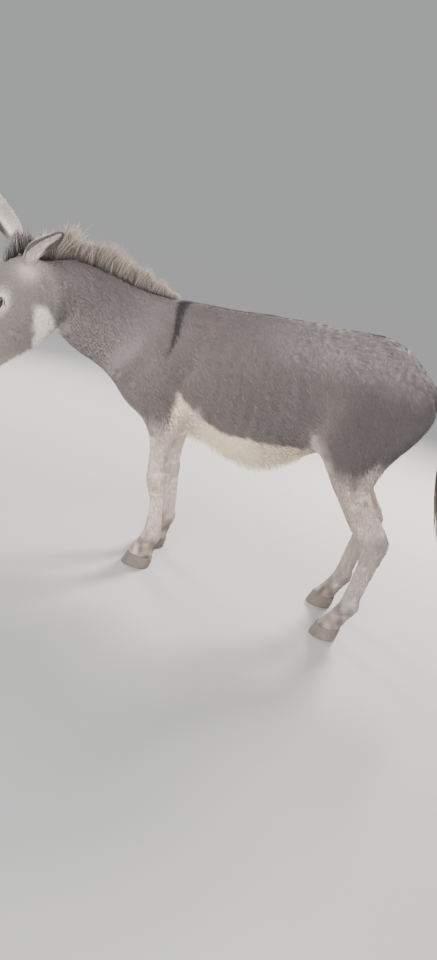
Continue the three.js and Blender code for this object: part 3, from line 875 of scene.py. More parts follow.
bunch = np.repeat(random.uniform(0.09, 1.10, MANE_LOCKS // MANE_BUNCH), MANE_BUNCH)
share = np.sort(np.clip(bunch + 0.006 * random.normal(size=len(bunch)), 0.08, 1.1))
_, rise, thick = rows_at(MANE, share).T
_, x, y, heading, top, *_ = rows_at(NECK + [CROWN], share).T
turn = np.radians(heading)
across = np.stack([np.sin(turn), -np.cos(turn), 0 * turn], -1)
forward = np.stack([-np.cos(turn), -np.sin(turn), 0 * turn], -1)
out = random.normal(size=len(share)) * 0.5
clump = np.sin(share * 130) * 0.5 + np.sin(share * 71 + 2) * 0.5
tall = MANE_HEIGHT * rise * (0.80 + 0.14 * clump + 0.20 * random.uniform(-1, 1, len(share)))
lean = (-0.12 + 0.16 * np.sin(share * 47) + 0.12 * random.normal(size=len(share)))[:, None]
mane = locks(
    np.stack([x, y, top - ROOT_DEPTH], -1) + across * (out * thick)[:, None],
    unit(across * (0.16 * out)[:, None] + forward * lean + np.array([0, 0, 1.0])),
    forward,
    tall + ROOT_DEPTH,
    random.uniform(0.0035, 0.0065, len(share)),
    across * (0.12 * out + 0.08 * random.normal(size=len(share)))[:, None] + forward * lean * 0.6,
    4,
)
long_hair("mane_locks", "mane", mane, hair_tint(mane[2], mane[3], HAIR_ROOT, HAIR_TIP, 1.25, 0.30))

# distance from the poll, height and half width of the forelock, on a head 500 long
FORELOCK = [(-34, 60, 16), (-8, 60, 18), (20, 36, 16), (44, 12, 11)]
place = np.sort(random.uniform(-34, 44, FORELOCK_LOCKS))
_, rise, thick = rows_at(FORELOCK, place).T
crown = rows_at(HEAD, place)[:, 1]
out = random.normal(size=len(place)) * 0.5
start = np.stack([place, out * thick, crown - 12], -1)
aim = np.stack([-0.6 + 0.12 * random.normal(size=len(place)), 0.22 * out, np.full(len(place), 0.8)], -1)
tall = rise * random.uniform(0.72, 1.06, len(place)) + 12
wide = random.uniform(0.005, 0.008, len(place))
sag = np.stack([0.10 * random.normal(size=len(place)), 0.15 * out, np.full(len(place), -0.05)], -1)
forelock = locks(
    on_head(start),
    unit(aim @ HEADWARD.T),
    np.tile(HEADWARD[:, 0], (len(place), 1)),
    tall * HEAD_LENGTH / 500,
    wide,
    sag @ HEADWARD.T,
    4,
)
colours = hair_tint(forelock[2], forelock[3], FORELOCK_ROOT, FORELOCK_TIP, 1.6, 0.3)
long_hair("forelock_locks", "forelock", forelock, colours)

share = random.uniform(0.47, 0.60, TUFT_LOCKS)
middle, along = along_tail(share)
turn = random.uniform(0, 2 * math.pi, TUFT_LOCKS)
radial = np.cos(turn)[:, None] * np.array([0, 1.0, 0]) + np.sin(turn)[:, None] * np.cross(along, (0, 1, 0))
ease = random.uniform(0.35, 1.0, TUFT_LOCKS)[:, None]
tuft = locks(
    middle + radial * 0.010,
    unit(along + radial * 0.22 * ease),
    radial,
    (1.0 - share) * TAIL_LENGTH * random.uniform(0.62, 1.0, TUFT_LOCKS) + ROOT_DEPTH,
    random.uniform(0.005, 0.009, TUFT_LOCKS),
    -radial * 0.20 * ease + 0.03 * random.normal(size=(TUFT_LOCKS, 3)) + np.array([0.02, 0, -0.03]),
    7,
)
long_hair("tail_locks", "tail_tuft", tuft, hair_tint(tuft[2], tuft[3], TAIL_ROOT, TAIL_TIP, 1.5))

# ---- Eyes ----------------------------------------------------------------------------------------
# Each eyeball sits in its socket behind the lids: a dark iris with a long level pupil under a clear,
# wet, slightly bulging cornea, and a rim of white that the lids nearly hide.
EYE_DEEP = EYE_RADIUS + 0.2
CORNEA_BULGE = 1.6
PUPIL = np.array([0.004, 0.003, 0.003])
IRIS = np.array([0.020, 0.010, 0.006])
EYE_WHITE = np.array([0.12, 0.09, 0.08])

eye_finish = Finish("eye", Roughness=0.04, Specular_IOR_Level=0.6, Coat_Weight=0.6, Coat_Roughness=0.02)
iris = eye_finish.node("ShaderNodeAttribute", {"attribute_name": "tint"})
eye_finish.feed({"Base Color": iris})


def eyeball(side):
    """A ball of latitude rings round the gaze, with the front swelled by a bell for the cornea."""
    mirror = np.array([1.0, side, 1.0])
    polar, turn = np.linspace(0.0, math.pi, 49)[:, None], np.linspace(0, 2 * math.pi, 64, endpoint=False)
    across, up = np.sin(polar) * np.cos(turn), np.sin(polar) * np.sin(turn)
    radius = EYE_DEEP + CORNEA_BULGE * np.exp(-((polar / 0.55) ** 2))
    ball = across[..., None] * EYE_LENGTHWISE + up[..., None] * EYE_UPRIGHT
    ball = ball + np.cos(polar)[..., None] * EYE_GAZE
    points, faces = tube(on_head((EYE_PLACE + radius[..., None] * ball) * mirror) + ORIGIN)
    pupil = ramp(np.hypot(across / 0.40, up / 0.16).ravel(), 0.85, 1.1)[:, None]
    edge = ramp(np.degrees(polar + 0 * turn).ravel(), 43, 50)[:, None]
    ring = (0.75 + 0.25 * np.sin(turn * 23 + 3 * np.sin(turn * 5)))[None] * np.ones_like(polar)
    colour = PUPIL + pupil * (IRIS * ring.reshape(-1, 1))
    colour = colour + edge * (EYE_WHITE - colour)
    piece = piece_of("eyeball_" + ("left" if side > 0 else "right"), mesh_of("eyeball", points, faces))
    tinted(piece.data, np.vstack([colour, colour[:1], colour[-1:]]))
    wear(piece, eye_finish)
    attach(piece, "root")
    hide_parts("eye_left" if side > 0 else "eye_right")


for side in (1, -1):
    eyeball(side)

# ---- Hooves --------------------------------------------------------------------------------------
# Each hoof is a box of horn that grows down from the coronet, with faint rings across the wall, a worn
# lower edge and dry dust in its grain. It stands flat on the floor.
# height, front, back, half width
FORE_HOOF = [
    (0.0496, -0.058, 0.048, 0.038),
    (0.028, -0.067, 0.046, 0.042),
    (0.007, -0.076, 0.042, 0.045),
    (0.000, -0.078, 0.041, 0.044),
]
HIND_HOOF = [
    (0.0496, 0.760, 0.854, 0.038),
    (0.028, 0.753, 0.852, 0.041),
    (0.007, 0.745, 0.849, 0.043),
    (0.000, 0.743, 0.848, 0.042),
]
HOOF_FULLNESS = 2.3

horn_finish = Finish("horn", Roughness=0.6, Specular_IOR_Level=0.35)
rings = horn_finish.noise(horn_finish.stretched((9.0, 9.0, 260.0)), 1.0, 2.0)
grain = horn_finish.noise(horn_finish.stretched((320.0, 320.0, 22.0)), 1.0, 3.0)
dust = horn_finish.noise(horn_finish.stretched((38.0, 38.0, 38.0)), 1.0, 5.0, 0.65)
worn = horn_finish.shade(rings, (0.060, 0.049, 0.042, 1), (0.120, 0.098, 0.084, 1))
worn = horn_finish.shade(grain * 0.4, worn, (0.160, 0.132, 0.114, 1))
horn_finish.feed({"Base Color": horn_finish.shade(dust * 1.5 - 0.35, worn, (0.225, 0.182, 0.155, 1))})
horn_finish.feed({"Roughness": dust * 0.4 + 0.5})
horn_finish.bump(rings * 0.7 + grain * 0.5, 0.6, 0.0012)


def hoof(name, rows, stance, side, step):
    """Level rings down a table of heights, closed at the coronet and over the flat sole, with a low wave
    down the wall for each ring of growth."""
    z = np.r_[np.linspace(0.0496, 0.004, 40), 0.0015, 0.0]
    _, front, back, width = rows_at(rows, z).T
    wave = 0.0007 * np.sin(z * 1250) * ramp(z, 0.004, 0.012) - 0.0016 * (z < 0.001)
    x, y = section(96, (back - front) / 2 + wave, width + wave, width + wave, HOOF_FULLNESS, HOOF_FULLNESS)
    middle = (front + back) / 2 + step
    rings = np.stack(np.broadcast_arrays(middle[:, None] + x, side * stance + y, z[:, None]), -1)
    piece = piece_of("horn_" + name, mesh_of(name, *tube(rings + ORIGIN)))
    wear(piece, horn_finish)
    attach(piece, "root")
    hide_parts("hoof_" + name)


hoof("fore_left", FORE_HOOF, FORE_STANCE, -1, 0)
hoof("fore_right", FORE_HOOF, FORE_STANCE, 1, RIGHT_FORE_STEP)
hoof("hind_left", HIND_HOOF, HIND_STANCE, -1, 0)
hoof("hind_right", HIND_HOOF, HIND_STANCE, 1, RIGHT_HIND_STEP)

# ---- Coat colours --------------------------------------------------------------------------------
# The coat is mouse grey, cream under the belly and inside the legs, with a pale throat, muzzle and rings
# round the eyes. A dark stripe runs down the back and another crosses it over the shoulders.
GREY = (0.186, 0.153, 0.152)
NECK_GREY = (0.190, 0.164, 0.161)
CREAM = (1.000, 0.780, 0.585)
PALE_LEG = (0.850, 0.680, 0.590)
PALE_HIND = (0.700, 0.560, 0.490)
WHITE = (0.900, 0.850, 0.800)
DARK = (0.026, 0.023, 0.025)
DUST = (0.150, 0.116, 0.096)
SMUDGE = (0.230, 0.220, 0.250)
NAKED = (0.060, 0.050, 0.050)  # bare skin of the chestnuts and of two rubbed spots
# painted light on the top of the croup, and painted shade on the flank and thigh
CROUP_PAINTED_LIGHT = (0.300, 0.250, 0.256)
FLANK_PAINTED_SHADE = (0.150, 0.120, 0.120)
THIGH_PAINTED_SHADE = (0.075, 0.060, 0.062)
LOW_NECK_GREY = (0.300, 0.258, 0.250)
BREAST_GREY = (0.56, 0.50, 0.47)
CANNON_GREY = (0.36, 0.31, 0.30)
# painted light for the inner face of the right foreleg, which lies in shade
FAR_LEG_INSIDE_PAINTED_LIGHT = (1.0, 0.86, 0.80)
SPINE = (0.05, 0.036, 0.034)
UNDER_DOCK = (0.40, 0.35, 0.32)
FACE_GREY = (0.215, 0.183, 0.168)
FOREHEAD_GREY = (0.180, 0.152, 0.140)
LIP_GREY = (0.330, 0.285, 0.270)
JAW_PALE = (0.48, 0.385, 0.335)
EAR_FOOT_PALE = (0.80, 0.68, 0.60)
LID_SKIN = (0.022, 0.018, 0.018)
# the dark inside of the nostril and the gap between the lips are painted shade
NOSTRIL_RIM, NOSTRIL_PAINTED_SHADE = (0.180, 0.155, 0.150), (0.035, 0.026, 0.026)
LIP_SKIN, LIP_GAP_PAINTED_SHADE = (0.200, 0.172, 0.165), (0.045, 0.036, 0.034)
# the hollow's pale colour is raised with painted light against the shade inside the ear
EAR_BACK, EAR_HOLLOW_PALE_PAINTED_LIGHT = (0.460, 0.400, 0.370), (0.980, 0.840, 0.780)
HOCK_SMUDGE = (0.903, -0.150, 0.449)
BARE_SPOTS = [(0.745, -0.168, 0.631), (0.796, -0.153, 0.578)]
# x, height of the edge between grey flank and cream belly
BELLY_EDGE = [
    (-0.060, 0.790),
    (-0.008, 0.772),
    (0.028, 0.752),
    (0.064, 0.727),
    (0.103, 0.702),
    (0.155, 0.680),
    (0.205, 0.664),
    (0.275, 0.664),
    (0.349, 0.672),
    (0.425, 0.676),
    (0.496, 0.682),
    (0.586, 0.705),
]
# height, middle and half width of the dark stripe across the shoulders
CROSS_STRIPE = [
    (1.112, -0.096, 0.044),
    (1.085, -0.088, 0.027),
    (1.061, -0.080, 0.023),
    (0.994, -0.058, 0.015),
    (0.940, -0.052, 0.010),
    (0.870, -0.060, 0.003),
]


def mottle(points, size, seed, waves=22):
    """Soft variation, mostly from -1 to 1: the sum of sine waves that run in random directions, about
    a size apart. A size may differ along each axis."""
    draw = np.random.default_rng(seed)
    turn = unit(draw.normal(size=(waves, 3))) * (2 * math.pi * draw.uniform(0.6, 1.6, waves)[:, None] / size)
    return np.sin(points @ turn.T + draw.uniform(0, 2 * math.pi, waves)).sum(1) * 0.75 * math.sqrt(2 / waves)


def painted(colour, over, share):
    """One colour laid over another by a share from 0 to 1."""
    return colour + np.c_[np.clip(share, 0, 1)] * (np.array(over) - colour)


def across_leg(rows, step, hinge, x, y, z):
    """Where a point lies from the front of a leg, -1, to its back, 1."""
    _, front, back, *_ = rows_at(rows, np.clip(z, 0.05, rows[0][0])).T
    return (squared_up(x, y, z, step, hinge) - (front + back) / 2) / ((back - front) / 2)


def past_withers(points):
    """How far points lie in front of the upright plane where the neck leaves the shoulders."""
    return (points - (-0.070, 0, 1.1)) @ unit(np.array([-0.460, 0, 0.192]))


def past_rump(x, z):
    """How far points lie behind the buttocks, which slant, so above 0 on the tail."""
    return x - np.maximum(0.930 + 0.35 * (0.95 - z), 0.93)


def in_ears(points):
    """Share of the way up the nearer ear (0 off the ears), how far across it from -1 to 1, and how far
    a point lies in front of the ear's middle line as a share of its half width."""
    share, across, front = np.zeros((3, len(points)))
    for start, up, facing, sideways in map(ear_frame, EARS):
        offset = points - start
        rise = offset @ up / EAR_LENGTH
        width = rows_at(EAR, np.clip(rise, 0, 1))[:, 1]
        wide, deep = offset @ sideways / width, offset @ facing / width
        on = (rise > 0.02) & (rise < 1.05) & (abs(wide) < 1.25) & (abs(deep) < 1.3)
        found = [(rise, share), (wide, across), (deep, front)]
        share, across, front = (np.where(on, new, old) for new, old in found)
    return share, across, front


def greys_and_painted_light(points, rough):
    """Mouse grey, paler low on the neck, with painted light on the croup and painted shade on
    the flank and thigh.
    """
    x, _, z = points.T
    head, neck = past_throat(points), ramp(past_withers(points), -0.18, 0.18)
    body = 1 - np.maximum(head, neck)
    colour = painted(np.tile(GREY, (len(x), 1)), NECK_GREY, neck)
    colour = colour * (1 + 0.05 * mottle(points, 0.22, 2) + 0.03 * rough)[:, None]
    croup = ramp(z, 0.92, 1.06) * body * ramp(x, 0.1, 0.5)
    flank = (1 - ramp(abs(z - 0.80), 0.02, 0.16)) * ramp(x, 0.15, 0.3) * body
    thigh = ramp(x, 0.55, 0.72) * (1 - ramp(z, 0.92, 1.05)) * body
    low_neck = neck * (1 - ramp(z, 0.86, 1.02)) * (1 - head)
    # painted light where light falls on the croup, then painted shade on the flank and thigh
    colour = painted(colour, CROUP_PAINTED_LIGHT, 0.7 * croup)
    colour = painted(colour, FLANK_PAINTED_SHADE, 0.6 * flank)
    colour = painted(colour, THIGH_PAINTED_SHADE, 0.68 * thigh)
    return painted(colour, LOW_NECK_GREY, 0.5 * low_neck)


def pale_below(colour, points, normals, rough):
    """Cream under a firm edge along the belly, and a pale breast."""
    x, _, z = points.T
    flesh = 1 - past_throat(points)
    edge = np.interp(x, *np.array(BELLY_EDGE).T) + 0.004 * rough
    belly = (1 - ramp(z - edge, -0.012, 0.010)) * ramp(x, 0.002, 0.028) * (1 - ramp(x, 0.570, 0.60))
    under = ramp(-normals[:, 2], 0.72, 1.0) * (1 - ramp(z, 0.72, 0.80)) * ramp(x, -0.30, -0.20)
    breast = ramp(-normals[:, 0], 0.55, 0.95) * (1 - ramp(z, 0.74, 0.90)) * (1 - ramp(x, -0.20, -0.12))
    colour = painted(colour, CREAM, np.maximum(belly, under) * flesh)
    return painted(colour, BREAST_GREY, 0.7 * breast * flesh)


def leg_marks(colour, points, normals, rough):
    """Pale legs whose grey reaches down in a tongue, greyer hind cannons, dust on the feet, a smudge on
    the left hock, two bare spots on the left gaskin, the chestnuts inside the forelegs, and painted light
    on the shaded inner face of the right foreleg."""
    x, y, z = points.T
    head, neck = past_throat(points), ramp(past_withers(points), -0.18, 0.18)
    inner = ramp(normals[:, 1] * -np.sign(y), 0.2, 0.7)
    fore = across_leg(FORELEG, RIGHT_FORE_STEP, FORE_HINGE, x, y, z)
    hind = across_leg(HINDLEG, RIGHT_HIND_STEP, HIND_HINGE, x, y, z)
    fore_edge = 0.600 + 0.10 * ramp(fore, 0.3, 0.9) + 0.05 * ramp(-fore, 0.55, 1.0)
    fore_edge = fore_edge + 0.14 * inner + 0.008 * rough
    hind_edge = 0.640 + 0.09 * ramp(abs(hind + 0.05), 0.25, 0.95) + 0.16 * inner + 0.010 * rough
    on_fore = (1 - ramp(abs(fore), 1.05, 1.35)) * (x < 0.25)
    on_hind = (1 - ramp(abs(hind), 1.05, 1.35)) * (x > 0.45)
    pale = np.maximum(
        (1 - ramp(z - fore_edge, -0.055, 0.055)) * on_fore,
        (1 - ramp(z - hind_edge, -0.065, 0.055)) * on_hind,
    )
    leg_colour = np.array(PALE_LEG) + ramp(x, 0.3, 0.5)[:, None] * (np.array(PALE_HIND) - PALE_LEG)
    colour = painted(colour, leg_colour, pale * (1 - head) * (1 - neck * ramp(z, 0.55, 0.62)))
    low = (1 - ramp(z, 0.45, 0.62)) * (1 - ramp(past_rump(x, z), 0.0, 0.02))
    colour = colour * (1 + 0.07 * low * mottle(points * (1, 1, 0.35), 0.03, 3))[:, None]
    cannon = low * ramp(x, 0.45, 0.6) * (1 - ramp(abs(z - 0.27), 0.10, 0.22))
    right_inner_painted_light = inner * low * (y > 0) * (x < 0.25) * ramp(z, 0.2, 0.35)
    dusty = low * (1 - ramp(z, 0.09, 0.27)) * (0.8 + 0.3 * rough)
    chestnut = inner * np.exp(-(((z - 0.50) / 0.022) ** 2) - (fore / 0.35) ** 2) * (x < 0.25)
    colour = painted(colour, CANNON_GREY, 0.55 * cannon)
    # painted light on the shaded inner face of the right foreleg
    colour = painted(colour, FAR_LEG_INSIDE_PAINTED_LIGHT, 0.6 * right_inner_painted_light)
    colour = painted(colour, DUST, 0.88 * dusty)
    colour = painted(colour, SMUDGE, 0.75 * near(points, HOCK_SMUDGE, 0.036))
    for spot in BARE_SPOTS:
        colour = painted(colour, NAKED, 0.8 * near(points, spot, 0.009))
    return painted(colour, NAKED, 0.35 * chestnut)


def stripes(colour, points, normals, rough):
    """The dark stripe across the shoulders, and the one down the back and onto the tail."""
    x, y, z = points.T
    row = rows_at(CROSS_STRIPE, np.clip(z, CROSS_STRIPE[-1][0], CROSS_STRIPE[0][0]))
    cross = (1 - ramp(abs(x - row[:, 1] + 0.002 * rough) / row[:, 2], 0.7, 1.35)) * ramp(z, 0.862, 0.885)
    tail = ramp(past_rump(x, z), 0.0, 0.02)
    spine = (1 - ramp(abs(y), 0.008, 0.020)) * ramp(normals[:, 2], 0.2, 0.5) * ramp(x, -0.10, -0.02)
    on_dock = tail * ramp(normals[:, 0] * 0.9 + normals[:, 2] * 0.4, 0.1, 0.6)
    colour = painted(colour, DARK, 0.92 * cross * (1 - past_throat(points)))
    colour = painted(colour, SPINE, 0.95 * np.maximum(spine, 0.6 * on_dock))
    return painted(colour, UNDER_DOCK, 0.5 * tail * ramp(-normals[:, 0], 0.1, 0.7))


def face_marks(colour, points, rough):
    """A grey face with pale muzzle, eye rings, jaw, throat patch and ear feet, dark naked skin on the lids,
    and painted shade in the nostrils and in the crease between the lips."""
    z = points[:, 2]
    head = past_throat(points)
    left, _ = both_sides(in_head(points))
    hx, hy, hz = left.T
    from_eye = left - EYE_PLACE
    ring = np.exp(-((from_eye @ EYE_LENGTHWISE / 37) ** 2 + (from_eye @ EYE_UPRIGHT / 27) ** 2) ** 1.6)
    jaw = (1 - ramp(hz - rows_at(HEAD, np.clip(hx, 0, 500))[:, 2], 14, 52)) * ramp(hx, 60, 110)
    throat_front = (points - (-0.4335, -0.465, 0.948)) @ unit(np.array([-0.847, -0.524, 0.0]))
    throat_front = throat_front + 0.10 * (0.948 - z)
    throat_back = (points - (-0.407, -0.403, 0.941)) @ np.array([0.524, 0.525, 0.67])
    throat = 1 - ramp(throat_front + 0.004 * rough, -0.012, 0.018)
    throat = throat * (1 - ramp(throat_back + 0.003 * rough, -0.014, 0.012))
    throat = throat * ramp(-points[:, 0], 0.36, 0.40) * (1 - ramp(z, 0.950, 0.990))
    ear_foot = near(left, (16, 66, -54), 34) * np.maximum(head, near(left, (0, 60, -50), 30))
    lids = (1 - ramp(eye_angles(left), 3, 9)) * (np.linalg.norm(from_eye, axis=1) < 30)
    nostril = nostril_reach(left)

    face = painted(colour, FACE_GREY, 0.85 * head)
    face = face * (1 + 0.07 * mottle(points, 0.012, 4) * head)[:, None]
    face = painted(face, FOREHEAD_GREY, 0.6 * head * ramp(hz, -40, 5) * ramp(hx, 20, 90))
    face = painted(face, WHITE, head * ramp(hx + 0.25 * hz, 322, 372))
    face = painted(face, LIP_GREY, 0.6 * head * ramp(hx, 462, 500) * ramp(hz, -118, -90))
    face = painted(face, WHITE, 0.8 * head * ring * (hy > 30))
    face = painted(face, JAW_PALE, 0.75 * head * jaw)
    face = painted(face, WHITE, throat)
    face = painted(face, EAR_FOOT_PALE, 0.70 * ear_foot)
    face = painted(face, LID_SKIN, lids * head)
    face = painted(face, NOSTRIL_RIM, 0.75 * head * (1 - ramp(nostril, 1.1, 2.6)))
    # painted shade inside the nostril
    face = painted(face, NOSTRIL_PAINTED_SHADE, head * (1 - ramp(nostril, 0.85, 1.25)))
    face = painted(face, LIP_SKIN, 0.7 * head * mouth_line(left, 9.0))
    # painted shade in the crease between the lips
    return painted(face, LIP_GAP_PAINTED_SHADE, 0.95 * head * mouth_line(left, 3.4))


def ear_marks(colour, points, normals):
    """Grey backs, pale hollows brightened with painted light against the shade inside them, and dark rims
    and tips.
    """
    share, across, front = in_ears(points)
    hollow = 0
    for start, _, facing, sideways in map(ear_frame, EARS):
        offset = points - start
        around = (np.linalg.norm(offset, axis=1) < 0.3) * (abs(offset @ sideways) < 0.06)
        hollow = hollow + ramp(normals @ facing, -0.2, 0.4) * around
    hollow = np.clip(hollow, 0, 1)
    ear = ramp(share, 0.06, 0.2)
    inside = ear * hollow * (front > -1.0) * (1 - ramp(abs(across), 0.62, 0.85))
    rim = ramp(abs(across), 0.70, 0.86) * ramp(share, 0.16, 0.34)
    colour = painted(colour, EAR_BACK, ear * (1 - hollow))
    # pale hollow, brightened with painted light where the ear's inside lies in shade
    colour = painted(colour, EAR_HOLLOW_PALE_PAINTED_LIGHT, 0.94 * inside)
    return painted(colour, DARK, 0.85 * ear * np.maximum(rim, ramp(share, 0.80, 0.93)))


def markings(points, normals):
    """The colour of the coat at points on the hide: grey first, then each pale or dark place over it."""
    rough = mottle(points, 0.05, 1)
    colour = pale_below(greys_and_painted_light(points, rough), points, normals, rough)
    colour = leg_marks(colour, points, normals, rough)
    colour = stripes(colour, points, normals, rough)
    return np.clip(ear_marks(face_marks(colour, points, rough), points, normals), 0, 1)


# ---- Coat ----------------------------------------------------------------------------------------
# The coat is short, dense hair that grows out of the hide in small tufts and lies back and down over
# it, shortest on the face and feet, with longer hair under the belly, on the throat and in the ears.
BODY_TUFTS = 100000  # tufts to a square metre of hide
FINE_TUFTS = 170000  # the same on the head and legs, where they are smaller
MOST_TUFTS = 48000  # tufts in one piece of the coat
PATCH = 0.003  # size of each tuft's patch on the unwrap of the hide
UNDER_SHADE = 0.92  # the hide is a little darker than the tufts over it
ROOT_SINK = 0.0015  # how deep a tuft starts in the hide
SCATTER = 0.13  # how far tufts turn from the lie, in radians
# length, width and depth of a tuft at the foot, on the trunk, and on the face above and at the muzzle
FOOT_HAIR = np.array([0.011, 0.0020, 0.0030])
BODY_GAIN = np.array([0.015, 0.0010, 0.0026])
FRONT_LOSS = np.array([0.006, 0.0006, 0.0032])
FACE_HAIR = np.array([0.011, 0.0018, 0.0022])
MUZZLE_LOSS = np.array([0.006, 0.0008, 0.0010])
CORONET_GAIN = np.array([0.010, 0.0, 0.0])
# pale ear hair, brightened with painted light against the shade in the hollow
EAR_HAIR_PALE_PAINTED_LIGHT = (0.98, 0.84, 0.77)


def curls(points):
    """1 over the croup and loins, where the hair curls, and 0 elsewhere."""
    return ramp(points[:, 2], 0.94, 1.06) * ramp(points[:, 0], 0.25, 0.50)


def lie(points, normals):
    """The way the hair lies: back along the body and down its sides, down the legs, along the neck, from
    the forehead to the lips, up the ears and down the tail, turned here and there by whorls."""
    x, y, z = points.T
    one = np.ones(len(x))
    head, neck = past_throat(points), ramp(past_withers(points), -0.10, 0.14)
    rump, low = ramp(x, 0.60, 0.86), 1 - ramp(z, 0.58, 0.74)
    fall = 0.50 * ramp(z, 0.55, 0.85) + 1.7 * rump + 0.5 * (1 - rump) * ramp(z, 0.7, 1.0)
    side = np.c_[one, 0 * one, -fall]
    turn = np.radians(50 * ramp(-x, 0.10, 0.46))
    behind = np.c_[np.cos(turn), np.sin(turn), -0.85 * one]
    way = side + neck[:, None] * (behind - side)
    leg = low * np.where(x < 0.25, 1 - ramp(abs(x + 0.06), 0.15, 0.19), (x > 0.5) * 1.0)
    way += leg[:, None] * (np.c_[0.12 * one, 0 * one, -1 * one] - way)
    tail = ramp(past_rump(x, z), 0.0, 0.02)
    way += tail[:, None] * (np.array([0.32, 0, -0.95]) - way)
    left, hand = both_sides(in_head(points))
    cheek = ramp(-left[:, 2], 60, 150) * (1 - ramp(left[:, 0], 200, 300))
    down_face = np.c_[one - 0.75 * cheek, hand * 0.25, -0.55 * cheek] @ HEADWARD.T
    way += head[:, None] * (down_face - way)
    for start, up, _, _ in map(ear_frame, EARS):
        close = np.linalg.norm(points - start - 0.12 * up, axis=1) < 0.17
        on = ramp(in_ears(points)[0], 0.02, 0.15) * close
        way += on[:, None] * (up - way)
    way = unit(way - (way * normals).sum(1, keepdims=True) * normals)
    angle = 0.14 * mottle(points, 0.20, 11) + 0.08 * mottle(points, 0.05, 12)
    angle = angle + 0.9 * curls(points) * mottle(points, 0.035, 13)
    return way * np.cos(angle)[:, None] + np.cross(normals, way) * np.sin(angle)[:, None]


def unwrapped(piece):
    """Lays the hide out flat in islands of like direction, and returns where each face's corners fall."""
    piece.data.uv_layers.new(name="OFBake")
    bpy.context.view_layer.objects.active = piece
    piece.select_set(True)
    bpy.ops.object.mode_set(mode="EDIT")
    bpy.ops.mesh.select_all(action="SELECT")
    bpy.ops.uv.smart_project(angle_limit=1.15, island_margin=0.001)
    bpy.ops.object.mode_set(mode="OBJECT")
    piece.select_set(False)
    flat = np.empty(len(piece.data.loops) * 2, np.float32)
    piece.data.uv_layers["OFBake"].data.foreach_get("uv", flat)
    return flat.reshape(-1, 3, 2)


flat = unwrapped(hide)
tinted(hide.data, markings(points - ORIGIN, normals) * UNDER_SHADE)
corner = points[faces]
face_area = np.linalg.norm(np.cross(corner[:, 1] - corner[:, 0], corner[:, 2] - corner[:, 0]), axis=1) / 2
face_middle = corner.mean(1) - ORIGIN

x, y, z = face_middle.T
on_tail = past_rump(x, z) > 0.010
on_legs = (z < np.where(x < 0.3, 0.60, 0.66)) & ((x < 0.17) | (x > 0.55)) & ~on_tail
on_head_faces = past_throat(face_middle) > 0.5
on_neck = past_withers(face_middle) > 0
fore, left_side = x < 0.36, y < 0
# each name takes what those before it leave
places = {
    "head": on_head_faces,
    "tail": on_tail,
    "forelegs": on_legs & (x < 0.3),
    "hindlegs": on_legs,
    "neck": on_neck,
    "fore_left": fore & left_side,
    "fore_right": fore,
    "hind_left": left_side,
}
place = np.select(list(places.values()), list(places), "hind_right")


def sown(where, count):
    """Places spread evenly over some faces of the hide, as many on each as its area asks: point, normal,
    and place on the unwrap."""
    among = np.flatnonzero(where)
    reach = np.cumsum(face_area[among])
    spots = (np.arange(count) + random.uniform(size=count)) * reach[-1] / count
    face = among[np.minimum(np.searchsorted(reach, spots), len(among) - 1)]
    a, b = random.uniform(size=(2, count, 1))
    over = a + b > 1
    a, b = np.where(over, 1 - a, a), np.where(over, 1 - b, b)
    mix = np.stack([1 - a - b, a, b], 1)
    at_corners = (points - ORIGIN)[faces[face]], normals[faces[face]], flat[face]
    return [(values * mix).sum(1) for values in at_corners]


def patches(mesh, corners, owner, share, spot):
    """The unwrap map of tufts: each one fills a small patch at its root's place on the hide's unwrap."""
    across = np.arange(len(share)) % 3 / 2 - 0.5
    at = spot[owner] + PATCH * np.c_[across, share - 0.5]
    layer = mesh.uv_layers.new(name="OFBake")
    layer.data.foreach_set("uv", at[corners.ravel()].astype(np.float32).ravel())


def coat_piece(name, root, normal, spot, length, width, lift, colour):
    """Tufts on the hide: each leaves it at the slope that lifts its tip by its share of the coat."""
    count = len(root)
    way = lie(root, normal)
    side = np.cross(normal, way)
    angle = random.normal(size=count) * SCATTER
    way = way * np.cos(angle)[:, None] + side * np.sin(angle)[:, None]
    slope = (lift + ROOT_SINK) / length
    aim = unit(way + normal * slope[:, None])
    made = locks(root - normal * ROOT_SINK, aim, normal, length, width, np.zeros_like(normal), 1)
    tuft_points, tuft_faces, owner, share = made
    piece = piece_of(name, mesh_of(name, tuft_points + ORIGIN, tuft_faces))
    streak = 0.06 * mottle(root * (1, 1, 0.22), 0.012, 21, 14)
    streak = streak + 0.30 * curls(root) * mottle(root * (1.0, 0.5, 1.8), 0.028, 22, 14)
    tone = np.clip(1 + 0.06 * random.normal(size=count) + streak, 0.6, 1.7)
    shade = colour[owner] * tone[owner][:, None] * (0.86 + 0.28 * share)[:, None]
    tinted(piece.data, np.clip(shade, 0, 1))
    patches(piece.data, tuft_faces, owner, share, spot)
    wear(piece, coat_finish)
    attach(piece, "root")


def hair_size(root, left, on_foot):
    """Length, width and depth of tufts: short and fine on the feet and face, growing up the legs to the
    trunk, a little less towards the front, least on the muzzle, and longer where they hang over a hoof."""
    head = past_throat(root)
    body = ramp(root[:, 2], 0.05, 0.62)
    front = ramp(-root[:, 0], -0.30, 0.34)
    muzzle = ramp(left[:, 0], 150, 430) * head
    cuff = (1 - ramp(root[:, 2], 0.050, 0.072)) * on_foot
    trunk = FOOT_HAIR + np.outer(body, BODY_GAIN) - np.outer(front * body, FRONT_LOSS)
    trunk = trunk + np.outer(cuff, CORONET_GAIN)
    face = FACE_HAIR - np.outer(muzzle, MUZZLE_LOSS)
    return (trunk * (1 - head)[:, None] + face * head[:, None]).T


